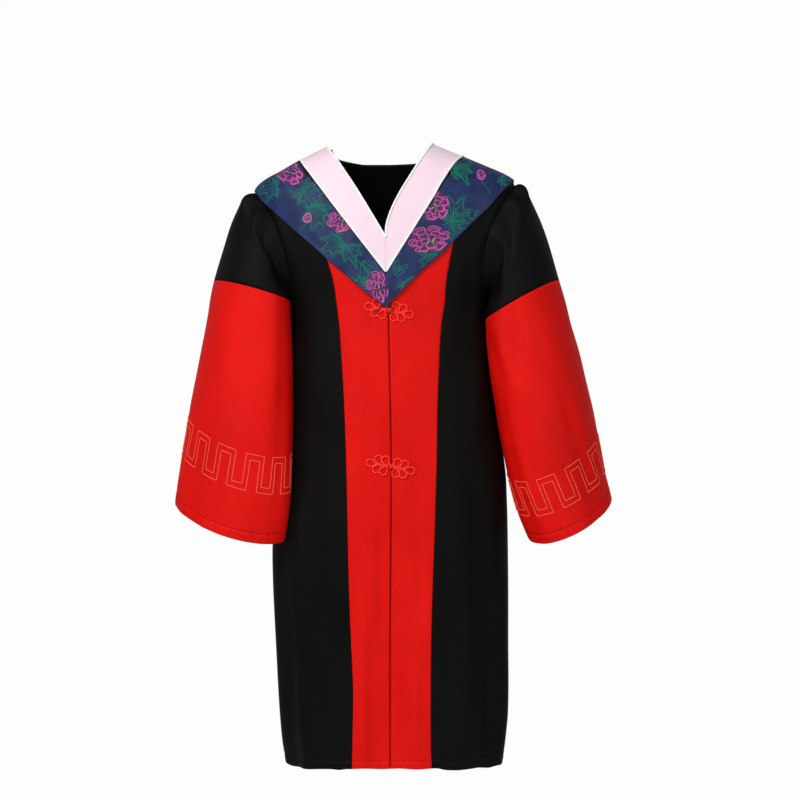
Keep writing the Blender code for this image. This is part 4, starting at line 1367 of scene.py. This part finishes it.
def band_polygon(side, back, margin):
    """The navy band in a front or back view, drawn in by a margin."""
    seam, outer = hood_lines[side]["seam"], hood_lines[side]["outer"]
    rows = slice(HOOD_ROWS_FRONT, None) if back else slice(0, HOOD_ROWS_FRONT + 1)
    one = gown_base(seam[0][rows], seam[1][rows])[:, [0, 2]]
    other = gown_base(outer[0][rows], outer[1][rows])[:, [0, 2]]
    across = other - one
    length = np.linalg.norm(across, axis=1, keepdims=True)
    step = across / length * margin
    ring = np.vstack([one + step, (other - step)[::-1]])
    ring[:, 0] = side * np.maximum(side * ring[:, 0], side * -6.5 * (0 if back else 1) + margin * 0.6)
    return ring


BACK_PEONIES = [(-96, -118, 38, 26, 10), (70, -140, 40, 26, -14), (180, -84, 26, 20, 30)]
BACK_SPRAYS = [
    (-140, -112, 160, 42, 4), (-56, -130, 20, 44, 4), (-30, -160, 200, 36, 3), (112, -126, 30, 42, 4),
    (26, -150, 150, 40, 3), (150, -96, 60, 34, 3), (-180, -86, 40, 36, 3), (-100, -150, -80, 34, 3),
]
back_pink, back_lime, back_teal = [], [], []
for k, (x, z, wide, high, turn) in enumerate(BACK_PEONIES):
    pink, lime = peony(x, z, wide, high, turn, 1.1 * k + 0.3)
    back_pink += pink
    back_lime += lime
for k, (x, z, heading, length, count) in enumerate(BACK_SPRAYS):
    back_teal += spray(x, z, heading, length, count, k + 3)

# Painted shadow: a near-black colour laid on the navy along its seam with the pink band, standing in for the shadow
# beside the piping.
SEAM_PAINTED_SHADOW = (0.002, 0.003, 0.010)
THREAD_HALF = {"teal": 0.62, "pink": 0.85, "lime": 0.7}
hood_sheets = []
for side, word in SIDES:
    lines = hood_lines[side]
    angle, z = band(lines["inner"], lines["seam"], 18)
    points = pull_edges(on_hood(angle, z), 0.2, ("row0", "row1", "col1"))
    pink_band = cloth(
        f"Hood_pink_{word}", points, PINK.material, f"hood_pink_{word}",
        flip=side < 0, thickness=1.2,
    )
    angle, z = band(lines["seam"], lines["outer"], 46)
    points = on_hood(angle, z)
    flat = np.stack([points[..., 0], points[..., 2]], -1).reshape(-1, 2)
    petals = in_peony(flat) * (points[..., 1].ravel() < 0)
    colours = np.zeros((len(flat), 4))
    shade = 0.5 + 0.25 * ripple(flat[:, 0], flat[:, 1], 9, 21)
    plum_low, plum_high = np.array([0.045, 0.014, 0.085]), np.array([0.16, 0.035, 0.17])
    colours[:, :3] = plum_low + (plum_high - plum_low) * shade[:, None]
    colours[:, 3] = 0.75 * petals
    # Painted shadow: the navy's first three columns by the seam take that near-black colour.
    painted_seam_shadow = np.tile(np.arange(47) < 3, len(flat) // 47)
    colours[painted_seam_shadow] = (*SEAM_PAINTED_SHADOW, 0.9)
    points = pull_edges(points, 0.2, ("row0", "row1", "col0"))
    navy_band = cloth(
        f"Hood_navy_{word}", points, NAVY.material, f"hood_navy_{word}",
        flip=side < 0, thickness=1.2, colours=colours,
    )
    front_ring = band_polygon(side, False, 2.2)
    back_ring = band_polygon(side, True, 2.2)
    threads = []
    for colour, material, front_lines, rear_lines, clear in (
        ("teal", TEAL_THREAD, teal_lines, back_teal, True),
        ("pink", PINK_THREAD, pink_lines, back_pink, False),
        ("lime", LIME_THREAD, lime_lines, back_lime, False),
    ):
        half = THREAD_HALF[colour]
        laid = hood_threads(front_lines, front_ring, False, half, 0.35, clear)
        laid += hood_threads(rear_lines, back_ring, True, half, 0.35)
        if laid:
            threads.append(tubes(f"Hood_{colour}_thread_{word}", laid, material.material, sides=5))
    hood_sheets += [(pink_band, f"hood_pink_{word}", []), (navy_band, f"hood_navy_{word}", threads)]
    for kind, key in (("edge", "inner"), ("seam", "seam")):
        angle, z = lines[key]
        points = on_hood(angle, z, 0.75)
        points[0, 0] += side * PIPING_R
        normals = gown_normal(angle, z)
        tubes(
            f"Piping_{kind}_{word}", [(points, normals, PIPING_HALF, PIPING_R)], WHITE_PIPING.material,
            node=f"piping_{kind}_{word}", sides=8,
        )

# ---- frog closures, knots and strands ----


# Loops of one half of a frog: foot along the spine, side, lean to the tip in degrees, length, half width
FROG_LOOPS = [
    (6.8, 1, 24, 18.4, 6.9),
    (6.8, -1, 24, 18.4, 6.9),
    (18.8, 1, 33, 18.0, 6.5),
    (18.8, -1, 33, 18.0, 6.5),
    (26.0, 1, 90, 18.8, 6.7),
]
SPINE_END = 27.0


def teardrop(foot, sign, lean, length, half):
    """A closed loop that starts and ends at a point of the spine, as (along, across)."""
    t = np.linspace(0.02, 2 * np.pi - 0.02, 56)
    reach = length * (1 - np.cos(t)) / 2
    side = half * 1.3 * np.sin(t) * np.sin(t / 2)
    turn = math.radians(lean)
    along = foot + reach * math.sin(turn) + side * math.cos(turn)
    across = reach * math.cos(turn) - side * math.sin(turn)
    return np.stack([along, sign * across], -1)


def frog_lines():
    """The cords of one half, as (along, across) lines and how far each is raised."""
    lines = [(teardrop(*loop), 0.0) for loop in FROG_LOOPS]
    for sign in (1, -1):
        along = np.linspace(BAR_START, SPINE_END, 40)
        across = sign * 1.15 * np.cos((along - FROG_LOOPS[0][0]) * np.pi / 12)
        lines.append((np.stack([along, across], -1), 0.4))
    return lines


def on_front(x, z, out):
    angle = front_angle(x, z)
    return on_gown(angle, z, out + 0 * angle), gown_normal(angle, z)


tilt = math.radians(FROG_TILT)
for place, height in FROG_HEIGHTS.items():
    middle = FROG_MIDDLE_X[place]
    for side, word in SIDES:
        cords = []
        for path, raised in frog_lines():
            along, across = resample(path, 0.6).T
            x = middle + side * along * math.cos(tilt) + across * math.sin(tilt)
            z = height - side * along * math.sin(tilt) + across * math.cos(tilt)
            points, normals = on_front(x, z, FROG_CORD_R + 0.35 + raised)
            cords.append((points, normals, SHOWN_CORD_R, SHOWN_CORD_R))
        tubes(
            f"Frog_{place}_{word}", cords, RED_CORD.material, node=f"frog_{place}_{word}",
            sides=10, twist=0.05, pitch=6.5,
        )
    t = np.linspace(0, 4 * np.pi, 220)
    lean = 0.95 * np.sin(1.5 * t)
    reach = (KNOT_R - 1.2) * (1 + 0.12 * np.sin(3 * t))
    centre, normal = on_front(np.array([middle]), np.array([float(height)]), KNOT_R + 0.3)
    ball = np.stack([reach * np.cos(t) * np.cos(lean), reach * np.sin(lean), reach * np.sin(t) * np.cos(lean)], -1)
    knot = [(centre[0] + ball, unit(ball), 1.35, 1.35)]
    loop = np.radians(np.linspace(205, -25, 30))
    loop_x = middle + 5.4 * np.cos(loop)
    loop_z = height + 5.0 * np.sin(loop)
    points, normals = on_front(loop_x, loop_z, 1.6)
    knot.append((points, normals, 1.2, 1.2))
    tubes(
        f"Frog_{place}_knot", knot, RED_CORD.material, node=f"frog_{place}_knot",
        sides=8, twist=0.05, pitch=5.0,
    )

for word, (x0, z0, x1, z1) in STRANDS.items():
    t = np.linspace(0, 1, 24)
    bow = 1.5 * np.sin(np.pi * t) * (-1 if word == "left" else 1)
    x, z = x0 + (x1 - x0) * t + bow, z0 + (z1 - z0) * t
    points, normals = on_front(x, z, 4.9 - 1.2 * t)
    tubes(
        f"Elastic_{word}", [(points, normals, STRAND_R, STRAND_R)], BLACK_ELASTIC.material,
        node=f"elastic_{word}", sides=8, twist=0.06, pitch=2.4,
    )

# ---- each sheet's cut: flat width and length in metres, and its flat area ----

CUTS = {
    "back": (0.66, 1.21, 0.63),
    "front_left": (0.23, 1.20, 0.205),
    "front_right": (0.23, 1.20, 0.20),
    "facing_left": (0.13, 1.25, 0.115),
    "facing_right": (0.12, 1.25, 0.106),
    "upper_sleeve_left": (0.60, 0.20, 0.063),
    "upper_sleeve_right": (0.64, 0.21, 0.071),
    "lower_sleeve_left": (0.69, 0.46, 0.26),
    "lower_sleeve_right": (0.63, 0.45, 0.247),
    "hood_pink_left": (0.065, 0.57, 0.025),
    "hood_pink_right": (0.065, 0.56, 0.023),
    "hood_navy_left": (0.145, 0.73, 0.064),
    "hood_navy_right": (0.145, 0.74, 0.061),
}
for piece, node in body_sheets:
    width, length, area = CUTS[node]
    extra = trims.get(node, []) + body_trims.get(node, [])
for piece, node, extra in hood_sheets:
    width, length, area = CUTS[node]

# ---- floor, light and camera ----

FLOOR_Z = -1.42
FLOOR_GLOW = 0.20
WHITE = 0.982


def make_floor():
    bpy.ops.mesh.primitive_circle_add(vertices=128, radius=60, fill_type="TRIFAN", location=(0, 0, FLOOR_Z))
    floor = bpy.context.object
    floor.name = "Floor"
    made = Nodes("Floor_paper")
    coordinate = made.add("ShaderNodeTexCoord")
    distance = made.add("ShaderNodeVectorMath", operation="LENGTH")
    made.link(coordinate.outputs["Object"], distance.inputs[0])
    fade = made.add("ShaderNodeMapRange")
    fade.inputs["From Min"].default_value = 0.6
    fade.inputs["From Max"].default_value = 2.0
    made.link(distance.outputs["Value"], fade.inputs["Value"])
    glow = made.add("ShaderNodeEmission")
    glow.inputs["Color"].default_value = (WHITE, WHITE, WHITE * 0.995, 1)
    mix = made.add("ShaderNodeMixShader")
    made.set(Roughness=0.9, Specular_IOR_Level=0.1)
    grain = made.noise(coordinate.outputs["Object"], 40.0, 3.0)
    made.link(made.ramp(grain, (0.90, 0.90, 0.895), (0.94, 0.94, 0.935)), made.shader.inputs["Base Color"])
    rays = made.add("ShaderNodeLightPath")
    made.link(made.spread_linear(rays.outputs["Is Camera Ray"], FLOOR_GLOW, 1.0), glow.inputs["Strength"])
    made.link(fade.outputs["Result"], mix.inputs["Fac"])
    made.link(made.shader.outputs[0], mix.inputs[1])
    made.link(glow.outputs[0], mix.inputs[2])
    made.link(mix.outputs[0], made.tree.nodes["Material Output"].inputs["Surface"])
    floor.data.materials.append(made.material)


def make_world():
    world = bpy.data.worlds.new("Studio")
    bpy.context.scene.world = world
    world.use_nodes = True
    tree = world.node_tree
    lighting = tree.nodes["Background"]
    lighting.inputs[0].default_value = (1, 1, 1, 1)
    lighting.inputs[1].default_value = 0.26
    shown = tree.nodes.new("ShaderNodeBackground")
    shown.inputs[0].default_value = (WHITE, WHITE, WHITE * 0.995, 1)
    shown.inputs[1].default_value = 1.0
    path = tree.nodes.new("ShaderNodeLightPath")
    mix = tree.nodes.new("ShaderNodeMixShader")
    tree.links.new(path.outputs["Is Camera Ray"], mix.inputs[0])
    tree.links.new(lighting.outputs[0], mix.inputs[1])
    tree.links.new(shown.outputs[0], mix.inputs[2])
    tree.links.new(mix.outputs[0], tree.nodes["World Output"].inputs["Surface"])


def area_light(name, place, size, energy):
    light = bpy.data.lights.new(name, "AREA")
    light.shape = "SQUARE"
    light.size = size
    light.energy = energy
    made = bpy.data.objects.new(name, light)
    bpy.context.scene.collection.objects.link(made)
    made.location = place
    made.rotation_euler = (Vector((0, 0, -0.55)) - Vector(place)).to_track_quat("-Z", "Y").to_euler()
    return made


make_floor()
make_world()
area_light("Key", (-1.7, -2.4, 1.5), 0.9, 75)
area_light("Fill", (2.4, -2.9, 0.7), 2.0, 42)
area_light("Left", (-2.9, -1.0, 0.3), 1.2, 7)
area_light("Front", (-0.3, -3.6, 0.2), 2.4, 16)
area_light("Back", (0.8, 3.0, 1.6), 1.6, 62).visible_glossy = False

# The photograph's frame is 800 px wide; the gown's front is 1.85 mm a pixel there
PIXEL = 0.00185
DISTANCE = 9.0
LOOK_DOWN = math.radians(1.0)
FRONT_Y = -0.10
aim = Vector(((400 - 389.5) * PIXEL, FRONT_Y, (150 - 400) * PIXEL))
camera = bpy.data.cameras.new("Camera")
camera.sensor_width = 36
camera.lens = 36 * DISTANCE / (800 * PIXEL)
camera.clip_end = 200
eye = bpy.data.objects.new("Camera", camera)
bpy.context.scene.collection.objects.link(eye)
eye.location = aim + Vector((0, -math.cos(LOOK_DOWN), math.sin(LOOK_DOWN))) * DISTANCE
eye.rotation_euler = (aim - eye.location).to_track_quat("-Z", "Y").to_euler()
bpy.context.scene.camera = eye
bpy.context.scene.view_settings.view_transform = "Standard"
